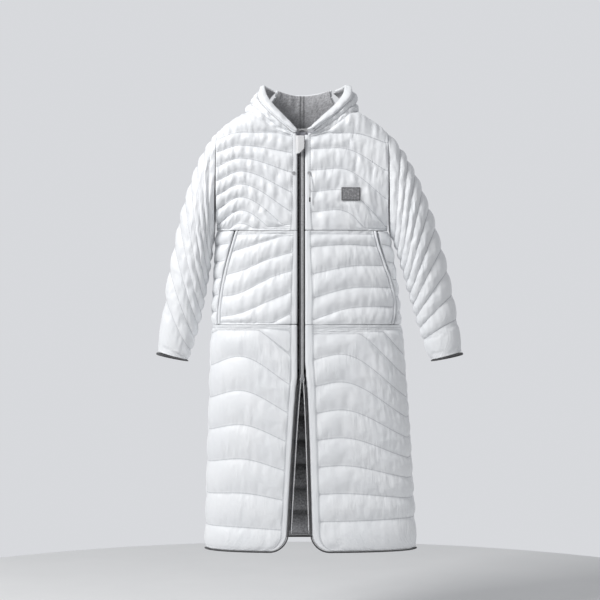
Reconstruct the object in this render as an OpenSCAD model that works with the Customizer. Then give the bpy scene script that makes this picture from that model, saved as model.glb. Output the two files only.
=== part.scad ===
// Long quilted hooded coat hanging open at the hem: shell, fleece lining, zip, pockets and hood.
// The origin is the seat of the neck on its hanger. +X is the wearer's left, -Y the front, +Z up.

/* [Body] */
// Height of the front hem below the neck seat
coat_length = 1204; // [1000:5:1300]
// How much higher the back hem hangs than the front hem
back_rise = 20; // [0:1:35]
// How far the hem spreads past the armhole on the wearer's right, where x is negative
hem_spread_right = 32; // [10:1:90]
// How far the hem spreads past the armhole on the wearer's left, where x is positive
hem_spread_left = 80; // [10:1:120]
// Distance of each armhole seam from the zip
armhole_x = 240; // [200:1:285]
// Height of the underarm point below the neck seat
underarm_drop = 322; // [270:1:380]
// Depth of the front at the neck, from the middle plane
front_depth_neck = 62; // [50:1:80]
// Depth of the front at the lower slider, from the middle plane
front_depth_low = 100; // [80:1:120]
// Depth of the back at the neck, from the middle plane
back_depth_neck = 56; // [48:1:70]
// Depth of the back at the hem, from the middle plane
back_depth_low = 86; // [70:1:105]
// Thickness of a quilted panel
shell_t = 11; // [8:0.5:14]
// Thickness of the fleece lining
lining_t = 3; // [2:0.5:4]
// Gap left at a sewn seam
seam_gap = 0.5; // [0.3:0.1:1]
// Gap between pieces that move against each other
joint_gap = 1.5; // [1:0.1:3]

/* [Neck and shoulder] */
// Half width of the neck opening on the shoulder line
neck_half = 160; // [130:1:185]
// Height of the neck seam at the centre front, below the neck seat
neck_front_drop = 54; // [40:1:70]
// Height of the neck seam at the centre back, below the neck seat
neck_back_drop = 25; // [15:1:35]
// Height of the shoulder line over the neck seat, run on to the middle
shoulder_top = 62; // [50:1:75]
// Fall of the shoulder line from the middle to the armhole
shoulder_fall = 106; // [85:1:125]
// Radius that rolls the front over the shoulder line
shoulder_r = 50; // [35:1:55]

/* [Pockets] */
// Height of the seam over the pocket panels, below the neck seat
pocket_top_drop = 318; // [265:1:330]
// Height of the waist seam under the pocket panels, below the neck seat
waist_drop = 578; // [500:1:640]
// Width of the hand slot at each pocket
pocket_mouth = 12; // [9:1:16]
// Width of the bound edge at each pocket
pocket_edge_w = 8; // [5:0.5:12]
// Deepest space between a pocket panel and its bag
pocket_room = 18; // [12:1:24]

/* [Zip] */
// Distance from the zip's middle to the panel on the wearer's right
zip_side_right = 13; // [11:0.5:18]
// Distance from the zip's middle to the panel on the wearer's left
zip_side_left = 10; // [9:0.5:18]
// Height of the lower slider below the neck seat
slider_drop = 722; // [640:1:900]
// Height of the upper slider below the neck seat
top_slider_drop = 72; // [66:1:90]
// Width of one row of zip teeth
teeth_w = 2.5; // [2:0.1:3.5]
// Thickness of a row of zip teeth
teeth_t = 4.6; // [3.5:0.1:5.5]
// Half of the space between the two rows
teeth_space = 0.7; // [0.6:0.05:1]
// Parting of the right front edge at the hem
vent_right = 28; // [10:1:45]
// Parting of the left front edge at the hem
vent_left = 16; // [8:1:45]
// Radius of the front hem corners
corner_r = 55; // [30:1:80]
// Width of the dark binding on the hem and the front edges
binding_w = 4; // [3:0.5:5]

/* [Sleeves] */
// Width of each cuff across the front
cuff_w = 88; // [70:1:110]
// Depth of each cuff from front to back
cuff_depth = 78; // [60:1:96]
// Depth of each sleeve at the elbow
elbow_depth = 150; // [110:1:170]
// Height of the cuffs below the neck seat
cuff_drop = 673; // [590:1:740]
// How far the right cuff's middle stands out from its armhole
cuff_out_right = 124; // [100:1:200]
// How far the left cuff's middle stands out from its armhole
cuff_out_left = 166; // [120:1:220]
// Height of the elastic binding round each cuff
cuff_binding_h = 8; // [5:0.5:14]

/* [Hood] */
// Half width of the hood's standing rim on the wearer's right
rim_half_right = 106; // [90:1:125]
// Half width of the hood's standing rim on the wearer's left
rim_half_left = 120; // [95:1:130]
// Height of the standing rim over the neck seat
rim_top = 94; // [75:1:110]
// Width of the rim's band
rim_band_w = 22; // [14:1:30]
// Thickness of the hood's quilting
hood_t = 9; // [6:0.5:12]
// Drop of the hanging crown below the rim
crown_drop = 310; // [240:5:340]
// Widest half width of the hanging crown
crown_half = 150; // [120:1:175]

/* [Small pieces] */
// Width of the blank chest patch
patch_w = 52; // [40:1:70]
// Height of the blank chest patch
patch_h = 37; // [28:1:50]
// Diameter of the drawcord
cord_d = 3; // [2:0.5:3.5]
// Radius of the hanging loop's arch
loop_r = 11; // [8:0.5:16]
// Outer radius of a cord eyelet
eyelet_r = 4.5; // [3.5:0.25:6]

/* [Hidden] */

$fn = 32;
pi = 3.14159265;
RIGHT = -1; // the wearer's right, at negative x
LEFT = 1;
FRONT = 1;
BACK = -1;
section_power = 2.4; // how square the coat's cross-section is
armhole_share = 0.85; // depth of the armhole against the depth at the middle
flare = [0.7, 0.6]; // how fast each side widens below the arm, right then left
hem_z = -coat_length;
back_hem_z = hem_z + back_rise;
underarm_z = -underarm_drop;
pocket_top_z = -pocket_top_drop;
waist_z = -waist_drop;
armhole_top_z = shoulder_top - shoulder_fall;
armhole_mid_z = (armhole_top_z + underarm_z) / 2;
zip_slope = (front_depth_low - front_depth_neck) / slider_drop;
zip_tilt = atan(zip_slope);
tape_in = 2.2; // how far the zip tape lies under the outer face
tape_t = 1.2;
skin_gap = 1.2; // gap between a panel and the layer inside it

// ---- small helpers -------------------------------------------------------------------------
function clamp(v, lo = 0, hi = 1) = min(max(v, lo), hi);
function mix(a, b, t) = a + (b - a) * t;
function unit(v) = v / max(norm(v), 1e-9);
function sgn_pow(v, p) = sign(v) * pow(abs(v), p);
function span(a, b, n) = [for (i = [0:n]) mix(a, b, i / n)];
function smooth(t) = let (c = clamp(t)) c * c * (3 - 2 * c);
function bezier(p, t) = let (q = 1 - t)
    p[0] * q * q * q + p[1] * 3 * q * q * t + p[2] * 3 * q * t * t + p[3] * t * t * t;
function side_value(side, right, left) = side < 0 ? right : left;

// A closed solid between two offsets from the surface at(u, v). Offsets run inwards.
function normal_at(at, u, v, du, dv) =
    unit(cross(at(u + du, v) - at(u - du, v), at(u, v + dv) - at(u, v - dv)));
module skin(at, us, vs, outer, inner, flip = 1, du = 0.004, dv = 0.002, ring = false) {
    nu = len(us);
    nv = len(vs);
    function place(u, v, off) = at(u, v) - flip * off(u, v) * normal_at(at, u, v, du, dv);
    pts = concat(
        [for (v = vs) for (u = us) place(u, v, outer)],
        [for (v = vs) for (u = us) place(u, v, inner)]);
    function id(layer, j, i) = layer * nu * nv + j * nu + i % nu;
    last = ring ? nu - 1 : nu - 2;
    faces = concat(
        [for (j = [0:nv - 2]) for (i = [0:last]) each [
            [id(0, j, i), id(0, j + 1, i), id(0, j + 1, i + 1)],
            [id(0, j, i), id(0, j + 1, i + 1), id(0, j, i + 1)],
            [id(1, j, i), id(1, j + 1, i + 1), id(1, j + 1, i)],
            [id(1, j, i), id(1, j, i + 1), id(1, j + 1, i + 1)]]],
        [for (i = [0:last]) each [
            [id(0, 0, i), id(0, 0, i + 1), id(1, 0, i + 1)],
            [id(0, 0, i), id(1, 0, i + 1), id(1, 0, i)],
            [id(0, nv - 1, i), id(1, nv - 1, i + 1), id(0, nv - 1, i + 1)],
            [id(0, nv - 1, i), id(1, nv - 1, i), id(1, nv - 1, i + 1)]]],
        ring ? [] : [for (j = [0:nv - 2]) each [
            [id(0, j, 0), id(1, j, 0), id(1, j + 1, 0)],
            [id(0, j, 0), id(1, j + 1, 0), id(0, j + 1, 0)],
            [id(0, j, nu - 1), id(1, j + 1, nu - 1), id(1, j, nu - 1)],
            [id(0, j, nu - 1), id(0, j + 1, nu - 1), id(1, j + 1, nu - 1)]]]);
    turned = flip > 0 ? faces : [for (f = faces) [f[0], f[2], f[1]]];
    polyhedron(pts, turned, convexity = 8);
}
function level(d) = function(u, v) d;

// ---- the coat's body -----------------------------------------------------------------------
// A height "s" counts along the surface: it is z below the shoulder roll, and runs on over it.
function roll_extra() = shoulder_r * (pi / 2 - 1);
function ridge_z(x) = shoulder_top - shoulder_fall * pow(abs(x) / armhole_x, 2);
function ridge_s(x) = ridge_z(x) + roll_extra();
function depth_at(face, s) = face > 0
    ? front_depth_neck + zip_slope * clamp(-s, 0, slider_drop)
    : mix(back_depth_neck, back_depth_low, clamp(s / back_hem_z));
function edge_x(side, s) = s >= underarm_z ? armhole_x
    : mix(armhole_x, armhole_x + side_value(side, hem_spread_right, hem_spread_left),
        pow((underarm_z - s) / (underarm_z - hem_z), side_value(side, flare[0], flare[1])));
function edge_share(s) =
    let (t = clamp((s - underarm_z) / (armhole_mid_z - underarm_z)))
    armhole_share * pow(sin(90 * t), 0.75);
// The half section is a superellipse; its last angle is short of 90 where an armhole cuts it.
function edge_angle(s) = acos(pow(edge_share(s), section_power / 2));
function virtual_x(side, s) = edge_x(side, s) / pow(sin(edge_angle(s)), 2 / section_power);
function body_at(face, angle, s) =
    let (
        side = angle < 0 ? RIGHT : LEFT,
        x = virtual_x(side, s) * sgn_pow(sin(angle), 2 / section_power),
        down = ridge_s(x) - s,
        turned = min(down / shoulder_r, pi / 2) * 180 / pi,
        y = depth_at(face, s) * sgn_pow(cos(angle), 2 / section_power) * sin(turned),
        z = down >= shoulder_r * pi / 2 ? s : ridge_z(x) - shoulder_r * (1 - cos(turned))
    ) [x, -face * y, z];
function angle_of(x, s) =
    let (side = x < 0 ? RIGHT : LEFT)
    (x < 0 ? -1 : 1) * asin(pow(clamp(abs(x) / virtual_x(side, s)), section_power / 2));
// The last angle a panel reaches at the side: just short of the seam or of the armhole.
function side_angle(face, s) =
    let (cut = clamp(pow(seam_gap / 2 / depth_at(face, s), section_power / 2)))
    min(edge_angle(s), acos(cut));
// A turn of the section that moves a point by a given length.
function turn_for(face, angle, s, length) =
    length / norm(body_at(face, angle + 0.5, s) - body_at(face, angle - 0.5, s));

function neck_s(face, x) =
    let (low = face > 0 ? -neck_front_drop : -neck_back_drop)
    low + (ridge_s(neck_half) - low) * pow(clamp(abs(x) / neck_half), 2.2);
function top_s(face, x) = abs(x) < neck_half ? neck_s(face, x) : ridge_s(x) - seam_gap / 2;

// A panel: u runs from one edge angle to the other, v from its bottom to its top.
module panel(face, from, to, bottom, top, us, vs, outer, inner) {
    function height(u, v) =
        let (s0 = top(0, u), angle = mix(from(s0), to(s0), u))
        mix(bottom, top(virtual_x(angle < 0 ? RIGHT : LEFT, s0)
            * sgn_pow(sin(angle), 2 / section_power), u), v);
    at = function(u, v)
        let (s = height(u, v)) body_at(face, mix(from(s), to(s), u), s);
    way = sign(to(bottom) - from(bottom)) * face;
    skin(at, us, vs, outer, inner, flip = way);
}
function flat_top(s) = function(x, u) s;
function neck_top(face) = function(x, u) top_s(face, x);

// ---- the front edges and the vent under the lower slider -----------------------------------
corner_z = hem_z + corner_r; // the corners' centres
function vent_shift(side, s) =
    let (t = clamp((-s - slider_drop) / (-corner_z - slider_drop)))
    side * side_value(side, vent_right * pow(t, 0.8), vent_left * pow(t, 0.7));
// How far an edge is drawn back in its rounded corner; the radius is the edge's own.
function corner_shift(s, r) = let (k = clamp((corner_z - s) / r)) r * (1 - sqrt(1 - k * k));
function zip_side(side) = side_value(side, zip_side_right, zip_side_left);
// The front edge, drawn in from the outline that the binding's fold makes.
function front_edge_x(side, s, inset) =
    vent_shift(side, s)
        + side * (zip_side(side) - panel_inset + inset + corner_shift(s, corner_r - inset));
function front_edge(side, inset) = function(s) angle_of(front_edge_x(side, s, inset), s);
panel_inset = binding_w + seam_gap;
function side_edge(face, side) = function(s) side * side_angle(face, s);
shell_out = level(0);
shell_in = level(shell_t);

module front_upper(side) {
    us = concat(span(0, 0.6, 5), span(0.68, 1, 4));
    panel(FRONT, front_edge(side, panel_inset), side_edge(FRONT, side),
        pocket_top_z + seam_gap / 2, neck_top(FRONT), us, span(0, 1, 11), shell_out, shell_in);
}

// ---- pockets -------------------------------------------------------------------------------
// Where each slanted edge starts on the seam above, on the right then the left
pocket_start = [armhole_x - 55, armhole_x - 33];
pocket_reach = [50, 54]; // how far out each slanted edge swings
function pocket_edge_x(side, s) =
    let (t = clamp((pocket_top_z - s) / (pocket_top_z - waist_z)))
    side * (side < 0
        ? pocket_start[0] + pocket_reach[0] * sin(90 * t)
        : pocket_start[1] + pocket_reach[1] * sin(120 * pow(t, 1.4)));
function pocket_line(side, past) = function(s)
    let (angle = angle_of(pocket_edge_x(side, s), s))
    angle + side * turn_for(FRONT, angle, s, past);
pocket_rows = span(0, 1, 7);

module pocket_panel(side)
    panel(FRONT, front_edge(side, panel_inset), pocket_line(side, -pocket_edge_w - seam_gap),
        waist_z + seam_gap / 2, flat_top(pocket_top_z - seam_gap / 2), span(0, 1, 8),
        pocket_rows, shell_out, shell_in);

module pocket_edge(side)
    panel(FRONT, pocket_line(side, -pocket_edge_w), pocket_line(side, 0),
        waist_z + seam_gap / 2, flat_top(pocket_top_z - seam_gap / 2), [0, 1], pocket_rows,
        level(-0.5), shell_in);

module side_panel(side)
    panel(FRONT, pocket_line(side, pocket_mouth), side_edge(FRONT, side),
        waist_z + seam_gap / 2, flat_top(pocket_top_z - seam_gap / 2), span(0, 1, 4),
        pocket_rows, shell_out, shell_in);

// The bag swells away from the panel; the lining swells a little more and wider, inside it.
bag_t = 1.2;
lining_slack = 3.4; // how loosely the lining hangs inside the panels and bags
bag_from = 40; // where each bag starts beside the zip
lining_reach = 26;
lining_room = 3;
function bag_swell(x, s, room, reach) =
    let (
        side = x < 0 ? RIGHT : LEFT,
        across = (abs(x) - bag_from + reach) / (pocket_start[0] - bag_from),
        fade = (edge_x(side, s) + reach * 0.3 - abs(x)) / 60,
        up = (s - waist_z + reach) / (pocket_top_z - waist_z),
        down = (pocket_top_z - s + reach) / (pocket_top_z - waist_z)
    ) room * smooth(4 * across) * smooth(fade) * smooth(5 * up) * smooth(5 * down);

module pocket_bag(side) {
    from = function(s) angle_of(side * bag_from, s);
    to = function(s) mix(pocket_line(side, pocket_mouth)(s), side_edge(FRONT, side)(s), 0.35);
    low = waist_z + 12;
    high = pocket_top_z - 12;
    function off(extra) = function(u, v)
        let (s = mix(low, high, v), x = body_at(FRONT, mix(from(s), to(s), u), s)[0])
        shell_t + skin_gap + extra + bag_swell(x, s, pocket_room, 0);
    panel(FRONT, from, to, low, flat_top(high), span(0, 1, 9), span(0, 1, 8), off(0), off(bag_t));
}

// ---- skirt and back ------------------------------------------------------------------------
module front_skirt(side) {
    low = hem_z + panel_inset;
    vs = concat([0, 0.015, 0.035, 0.06], span(0.1, 1, 9));
    panel(FRONT, front_edge(side, panel_inset), side_edge(FRONT, side),
        low, flat_top(waist_z - seam_gap / 2), span(0, 1, 8), vs, shell_out, shell_in);
}

module back_panel(low, top, us, rows)
    panel(BACK, side_edge(BACK, RIGHT), side_edge(BACK, LEFT), low, top, us, rows,
        shell_out, shell_in);
module back_upper()
    back_panel(pocket_top_z + seam_gap / 2, neck_top(BACK), span(0, 1, 16), span(0, 1, 11));
module back_middle()
    back_panel(waist_z + seam_gap / 2, flat_top(pocket_top_z - seam_gap / 2),
        span(0, 1, 14), span(0, 1, 5));
module back_skirt()
    back_panel(back_hem_z + panel_inset, flat_top(waist_z - seam_gap / 2),
        span(0, 1, 14), span(0, 1, 9));

// ---- lining --------------------------------------------------------------------------------
function lining_off(face, from, to, low, top, extra) = function(u, v)
    let (
        s0 = top(0, u),
        a0 = mix(from(s0), to(s0), u),
        side = a0 < 0 ? RIGHT : LEFT,
        high = top(virtual_x(side, s0) * sgn_pow(sin(a0), 2 / section_power), u),
        s = mix(low, high, v),
        x = body_at(face, mix(from(s), to(s), u), s)[0],
        swell = face > 0 ? bag_swell(x, s, pocket_room + lining_room, lining_reach) : 0
    ) shell_t + 2 * skin_gap + lining_slack + extra + swell;

module front_lining(side) {
    from = front_edge(side, panel_inset + 3);
    to = side_edge(FRONT, side);
    low = hem_z + panel_inset + 3;
    top = function(x, u) top_s(FRONT, x) - 4;
    us = concat(span(0, 0.6, 5), span(0.68, 1, 4));
    vs = concat([0, 0.03], span(0.08, 0.5, 5), span(0.54, 0.78, 6), span(0.82, 1, 5));
    panel(FRONT, from, to, low, top, us, vs,
        lining_off(FRONT, from, to, low, top, 0), lining_off(FRONT, from, to, low, top, lining_t));
}

module back_lining() {
    from = side_edge(BACK, RIGHT);
    to = side_edge(BACK, LEFT);
    low = back_hem_z + panel_inset + 3;
    top = function(x, u) top_s(BACK, x) - 4;
    vs = concat([0], span(0.08, 0.5, 5), span(0.54, 0.78, 6), span(0.82, 1, 5));
    panel(BACK, from, to, low, top, span(0, 1, 16), vs,
        lining_off(BACK, from, to, low, top, 0), lining_off(BACK, from, to, low, top, lining_t));
}

facing_half = 95;
facing_h = 62;
// A band inside the back of the neck, between two drops under the neck seam. It narrows to 3 mm
// at its ends.
module neck_band(low, high, from, to) {
    at = function(u, v)
        let (x = mix(-facing_half, facing_half, u),
            bow = 1 - pow(clamp(abs(x) / facing_half), 2),
            top = neck_s(BACK, x) - high,
            s = mix(top - 3 - (low - high) * bow, top, v))
        body_at(BACK, angle_of(x, s), s);
    skin(at, span(0, 1, 10), [0, 0.5, 1], level(from), level(to), flip = -1);
}
lining_face = shell_t + 2 * skin_gap + lining_slack + lining_t;
module back_neck_facing()
    neck_band(facing_h, 18, lining_face + skin_gap, lining_face + skin_gap + 1);
module neck_tape()
    neck_band(12, 6, lining_face + skin_gap, lining_face + skin_gap + 1.4);

inside_back_y = back_depth_neck - lining_face - 2.6; // clear face inside the back of the neck
module neck_label()
    translate([-9, inside_back_y - 3.2, -neck_back_drop - 48])
        cube([18, 1, 12]);
module hang_loop()
    translate([0, inside_back_y - 2, -neck_back_drop - 16])
        rotate([90, 0, 0])
            rotate_extrude(angle = 180)
                translate([loop_r, 0])
                    circle(d = 3);

// ---- binding -------------------------------------------------------------------------------
binding_out = level(-0.8);
binding_in = level(shell_t + 2 * skin_gap + lining_slack + lining_t);
binding_start = 22; // how far below the lower slider the edge binding starts
// The outline runs down the front edge, round the corner and along the hem to the side seam.
function outline_at(side, t, inset) =
    t <= 1 ? let (s = mix(-slider_drop - binding_start, corner_z, t))
        body_at(FRONT, angle_of(front_edge_x(side, s, inset), s), s)
    : t <= 2 ? let (
        turn = 90 * (t - 1), r = corner_r - inset,
        centre = front_edge_x(side, corner_z, 0) + side * corner_r,
        s = corner_z - r * sin(turn))
        body_at(FRONT, angle_of(centre - side * r * cos(turn), s), s)
    : let (s = hem_z + inset, start = angle_of(front_edge_x(side, corner_z, 0) + side * corner_r, s))
        body_at(FRONT, mix(start, side * side_angle(FRONT, s), t - 2), s);
module front_binding(side) {
    at = function(u, v) outline_at(side, u, binding_w * v);
    skin(at, concat(span(0, 1, 10), span(1.15, 2, 6), span(2.12, 3, 7)), [0, 1],
        binding_out, level(shell_t), flip = side);
}
module back_hem_binding()
    panel(BACK, side_edge(BACK, RIGHT), side_edge(BACK, LEFT), back_hem_z,
        flat_top(back_hem_z + binding_w), span(0, 1, 14), [0, 1], binding_out, binding_in);

// ---- zip -----------------------------------------------------------------------------------
zip_rows = concat(span(0, 0.42, 10), span(0.5, 1, 3));
zip_low = hem_z + corner_r + 6;
zip_high = -neck_front_drop - 6;
teeth_out = teeth_space + teeth_w;
function zip_line(side, extra) = function(s) angle_of(vent_shift(side, s) + side * extra, s);
module zip_tape(side) {
    outer_edge = zip_side(side) - panel_inset - 0.8;
    panel(FRONT, zip_line(side, teeth_out + 0.2), zip_line(side, outer_edge), zip_low,
        flat_top(zip_high), [0, 1], zip_rows, level(tape_in), level(tape_in + tape_t));
}
module zip_teeth(side)
    panel(FRONT, zip_line(side, teeth_space), zip_line(side, teeth_out), zip_low,
        flat_top(zip_high), [0, 1], zip_rows, level(tape_in + tape_t / 2 - teeth_t / 2),
        level(tape_in + tape_t / 2 + teeth_t / 2));
module zip_end_pins()
    for (side = [RIGHT, LEFT])
        translate(zip_point(zip_low - 7, 0, side) + [side * (teeth_space + 1.3), tape_in, 0])
            cylinder(r = 1.3, h = 6.4);
function zip_point(s, off, side = 0) =
    [side == 0 ? 0 : vent_shift(side, s), -depth_at(FRONT, s) + off, s];

// Places children on the zip's middle line at a height: their +Y points into the coat.
module on_zip(drop)
    translate(zip_point(-drop, 0)) rotate([-zip_tilt, 0, 0]) children();

slider_w = 10;
slider_h = 17;
plate_t = 1.6;
run_gap = 0.6; // gap between a slider and the teeth it runs on
plate_face = tape_in + tape_t / 2 - teeth_t / 2 - run_gap; // the outer plate's inner face
web_t = 2 * teeth_space - 0.6;
arch_in = 4.2; // how far each post of the bridge is from its middle
ring_wire = 0.8;
ring_r = 6;
ring_y = plate_face - plate_t - 1.4;
module slider_plate(y)
    translate([0, y, 0]) rotate([-90, 0, 0]) linear_extrude(plate_t)
        intersection() {
            square([slider_w, slider_h], center = true);
            circle(r = slider_h / 2 + 0.6);
        }
module slider() {
    back_face = tape_in + tape_t / 2 + teeth_t / 2 + run_gap;
    slider_plate(plate_face - plate_t);
    slider_plate(back_face);
    translate([-web_t / 2, plate_face - 0.2, -slider_h / 2 + 2])
        cube([web_t, back_face - plate_face + 0.4, slider_h - 4]);
    for (z = [-arch_in, arch_in])
        translate([-0.7, ring_y - 3, z - 0.6])
            cube([1.4, plate_face - plate_t - ring_y + 3.2, 1.2]);
    translate([-0.7, ring_y - 3, -arch_in]) cube([1.4, 1.4, 2 * arch_in]);
}
module pull_ring()
    translate([0, ring_y, -ring_r]) rotate([90, 0, 0])
        rotate_extrude() translate([ring_r, 0]) circle(r = ring_wire, $fn = 16);
// The garage is a tab sewn down along one edge; it rises clear of the upper slider beneath it.
garage_from = -(zip_side_right + 5);
garage_to = 6;
garage_h = 50;
garage_rise = 3 - ring_y + ring_wire + joint_gap;
module zip_garage() {
    at = function(u, v)
        let (s = -neck_front_drop - 3 - garage_h * (1 - v),
            x = mix(garage_from, mix(garage_from + 6, garage_to, smooth(0.3 + 2 * v)), u))
        body_at(FRONT, angle_of(x, s), s);
    function off(extra) = function(u, v) extra - garage_rise * smooth(u / 0.5);
    skin(at, span(0, 1, 8), span(0, 1, 5), off(-1.6), off(-0.4), flip = 1);
}

// ---- small pieces --------------------------------------------------------------------------
patch_x = 108;
patch_top = 199;
module chest_patch() {
    from = function(s) angle_of(patch_x, s);
    to = function(s) angle_of(patch_x + patch_w, s);
    panel(FRONT, from, to, -patch_top - patch_h, flat_top(-patch_top), span(0, 1, 4),
        span(0, 1, 3), level(-2.4), level(-0.4));
}
eyelet_x = [-23, 19];
eyelet_z = -160;
module cord_eyelets()
    for (x = eyelet_x)
        translate([x, -depth_at(FRONT, eyelet_z) - 0.3, eyelet_z]) rotate([90 - zip_tilt, 0, 0])
            difference() {
                cylinder(r = eyelet_r, h = 1.4);
                translate([0, 0, -1]) cylinder(r = cord_d / 2 + 0.6, h = 4);
            }
cord_route = [
    [19, -72.5, -160], [19, -75.5, -161], [20, -77.5, -165], [20, -78.5, -171],
    [21, -79.5, -179], [21, -80.5, -188], [20, -81, -197], [20, -82, -206],
    [21, -82.5, -215], [21, -83, -224], [21, -83.5, -228],
];
module tube(route, radius, sides = 8) {
    n = len(route);
    function along(i) = unit(route[min(i + 1, n - 1)] - route[max(i - 1, 0)]);
    rings = [for (i = [0:n - 1])
        let (t = along(i), a = unit(cross(t, [1, 0, 0])), b = cross(t, a))
        [for (k = [0:sides - 1])
            route[i] + radius * (cos(360 * k / sides) * a + sin(360 * k / sides) * b)]];
    pts = [for (r = rings) each r];
    faces = concat(
        [[for (k = [0:sides - 1]) k]],
        [for (i = [0:n - 2]) for (k = [0:sides - 1]) each [
            [i * sides + k, (i + 1) * sides + (k + 1) % sides, i * sides + (k + 1) % sides],
            [i * sides + k, (i + 1) * sides + k, (i + 1) * sides + (k + 1) % sides]]],
        [[for (k = [0:sides - 1]) n * sides - 1 - k]]);
    polyhedron(pts, faces);
}
module drawcord() tube(cord_route, cord_d / 2);
module cord_tip()
    translate(cord_route[len(cord_route) - 1] - [0, 0, 12.2]) cylinder(d = cord_d + 1, h = 12);

// ---- hood ----------------------------------------------------------------------------------
// A turn of -90 is the centre front, 0 the shoulder and 90 the centre back.
wall_end = 40; // where the standing walls stop and the hanging crown begins
function neck_at(side, turn) =
    let (face = turn < 0 ? FRONT : BACK, x = side * neck_half * cos(turn),
        s = min(neck_s(face, x), ridge_s(x)))
    body_at(face, angle_of(x == 0 ? side * 0.01 : x, s), s) + [0, 0, 3];
function rim_at(side, turn) =
    let (half = side_value(side, rim_half_right, rim_half_left), w = (turn + 90) / 90)
    turn < 0
        ? [side * max(half * sin(90 * w), 3), -front_depth_neck * cos(90 * w) - 1,
            -neck_front_drop + 10 + (rim_top + neck_front_drop - 10) * pow(max(w, 0), 0.87)]
        : [side * half * cos(turn), 75 * sin(turn) - 1, rim_top - 20 * pow(sin(turn), 2)];
function wall_at(side, turn, h) =
    mix(neck_at(side, turn), rim_at(side, turn), h)
        + 5 * sin(180 * clamp(h)) * unit([side * cos(turn), sin(turn), 0]);
function band_start(side, turn) =
    let (tall = norm(rim_at(side, turn) - neck_at(side, turn)))
    clamp(1 - rim_band_w / tall, 0.08, 0.95);
module hood_wall(side) {
    at = function(u, v)
        let (turn = mix(-64, wall_end, u))
        wall_at(side, turn, v * (band_start(side, turn) - 0.02));
    skin(at, span(0, 1, 10), span(0, 1, 4), level(0), level(hood_t), flip = side);
}
module hood_rim(side) {
    at = function(u, v)
        let (turn = mix(-84, wall_end, u))
        wall_at(side, turn, mix(band_start(side, turn), 1, v));
    skin(at, span(0, 1, 13), [0, 0.5, 1], level(-0.5), level(hood_t), flip = side);
}
module hood_wall_lining(side) {
    at = function(u, v)
        let (turn = mix(-56, wall_end - 2, u)) wall_at(side, turn, mix(0.12, 0.96, v));
    skin(at, span(0, 1, 9), span(0, 1, 4), level(hood_t + skin_gap),
        level(hood_t + skin_gap + lining_t), flip = side);
}
// The crown hangs behind: u runs from right to left, v down from the rim.
crown_start = wall_end + 4;
crown_edge_y = 80; // how far behind the middle plane the crown's side edges hang
function crown_half_at(v) =
    mix(82, crown_half, sin(90 * clamp(v / 0.6))) * sqrt(1 - pow(v, 6));
function crown_at(u, v) =
    let (
        half = mix(side_value(u, rim_half_right, rim_half_left) * cos(crown_start),
            crown_half_at(v), smooth(v / 0.2)),
        edge_y = mix(75 * sin(crown_start) + 2, crown_edge_y, smooth((v - 0.1) / 0.42)),
        swell = mix(75 * (1 - sin(crown_start)), 12, v) + 26 * sin(180 * clamp(v))
    ) [half * u, edge_y + swell * (1 - pow(abs(u), 2.2)),
        rim_top - 20 * pow(sin(mix(90, crown_start, abs(u))), 2) - crown_drop * v];
crown_end = 0.97;
rim_share = 0.06;
module crown(u0, u1, nu, outer, inner, v0 = rim_share + 0.003)
    skin(function(u, v) crown_at(u, v), span(u0, u1, nu), span(v0, crown_end, 11), outer, inner,
        flip = 1);
crown_seam = 0.3; // where the side pieces meet the centre strip
module hood_centre() crown(-crown_seam + 0.002, crown_seam - 0.002, 4, level(0), level(hood_t));
module hood_side(side)
    crown(side < 0 ? -1 : crown_seam + 0.002, side < 0 ? -crown_seam - 0.002 : 1, 5,
        level(0), level(hood_t));
module hood_rim_back()
    skin(function(u, v) crown_at(u, v), span(-1, 1, 14), span(0, rim_share, 2), level(-0.5),
        level(hood_t), flip = 1);
module hood_lining()
    crown(-0.8, 0.8, 10, level(hood_t + skin_gap), level(hood_t + skin_gap + lining_t), v0 = 0.03);
under_t = 7;
module hood_under() {
    at = function(u, v)
        let (z = mix(-neck_back_drop - 10, rim_top - crown_drop + 24, v),
            half = crown_half_at((rim_top - z) / crown_drop) - 32)
        [half * u, crown_edge_y - under_t - 4, z];
    skin(at, span(-1, 1, 8), span(0, 1, 7), level(0), level(under_t), flip = -1);
}

// ---- sleeves -------------------------------------------------------------------------------
cuff_lean = 9; // how much lower the inner end of each cuff lies
sleeve_start = armhole_x + joint_gap;
function cuff_x(side) = armhole_x + side_value(side, cuff_out_right, cuff_out_left);
// Each route runs from the armhole to the cuff: the outer line and the underarm line.
function outer_route(side) = [
    [sleeve_start, armhole_top_z], [armhole_x + side_value(side, 80, 90), armhole_top_z - 76],
    [cuff_x(side) + 8, -cuff_drop * 0.55], [cuff_x(side) + cuff_w / 2, -cuff_drop + cuff_lean]];
function inner_route(side) = [
    [sleeve_start + 1, underarm_z], [armhole_x + side_value(side, 14, 44), underarm_z - 86],
    [cuff_x(side) - side_value(side, 92, 102), -cuff_drop * 0.83],
    [cuff_x(side) - cuff_w / 2, -cuff_drop - cuff_lean]];
function sleeve_half_depth(t) =
    mix(mix(72, elbow_depth / 2, smooth(t / 0.5)), cuff_depth / 2, smooth((t - 0.35) / 0.65));
function oval_at(side, turn, t) =
    let (o = bezier(outer_route(side), t), i = bezier(inner_route(side), t),
        mid = (o + i) / 2, half = (o - i) / 2, p = mid + half * cos(turn))
    [side * p[0], -sleeve_half_depth(t) * sin(turn), p[1]];
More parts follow.
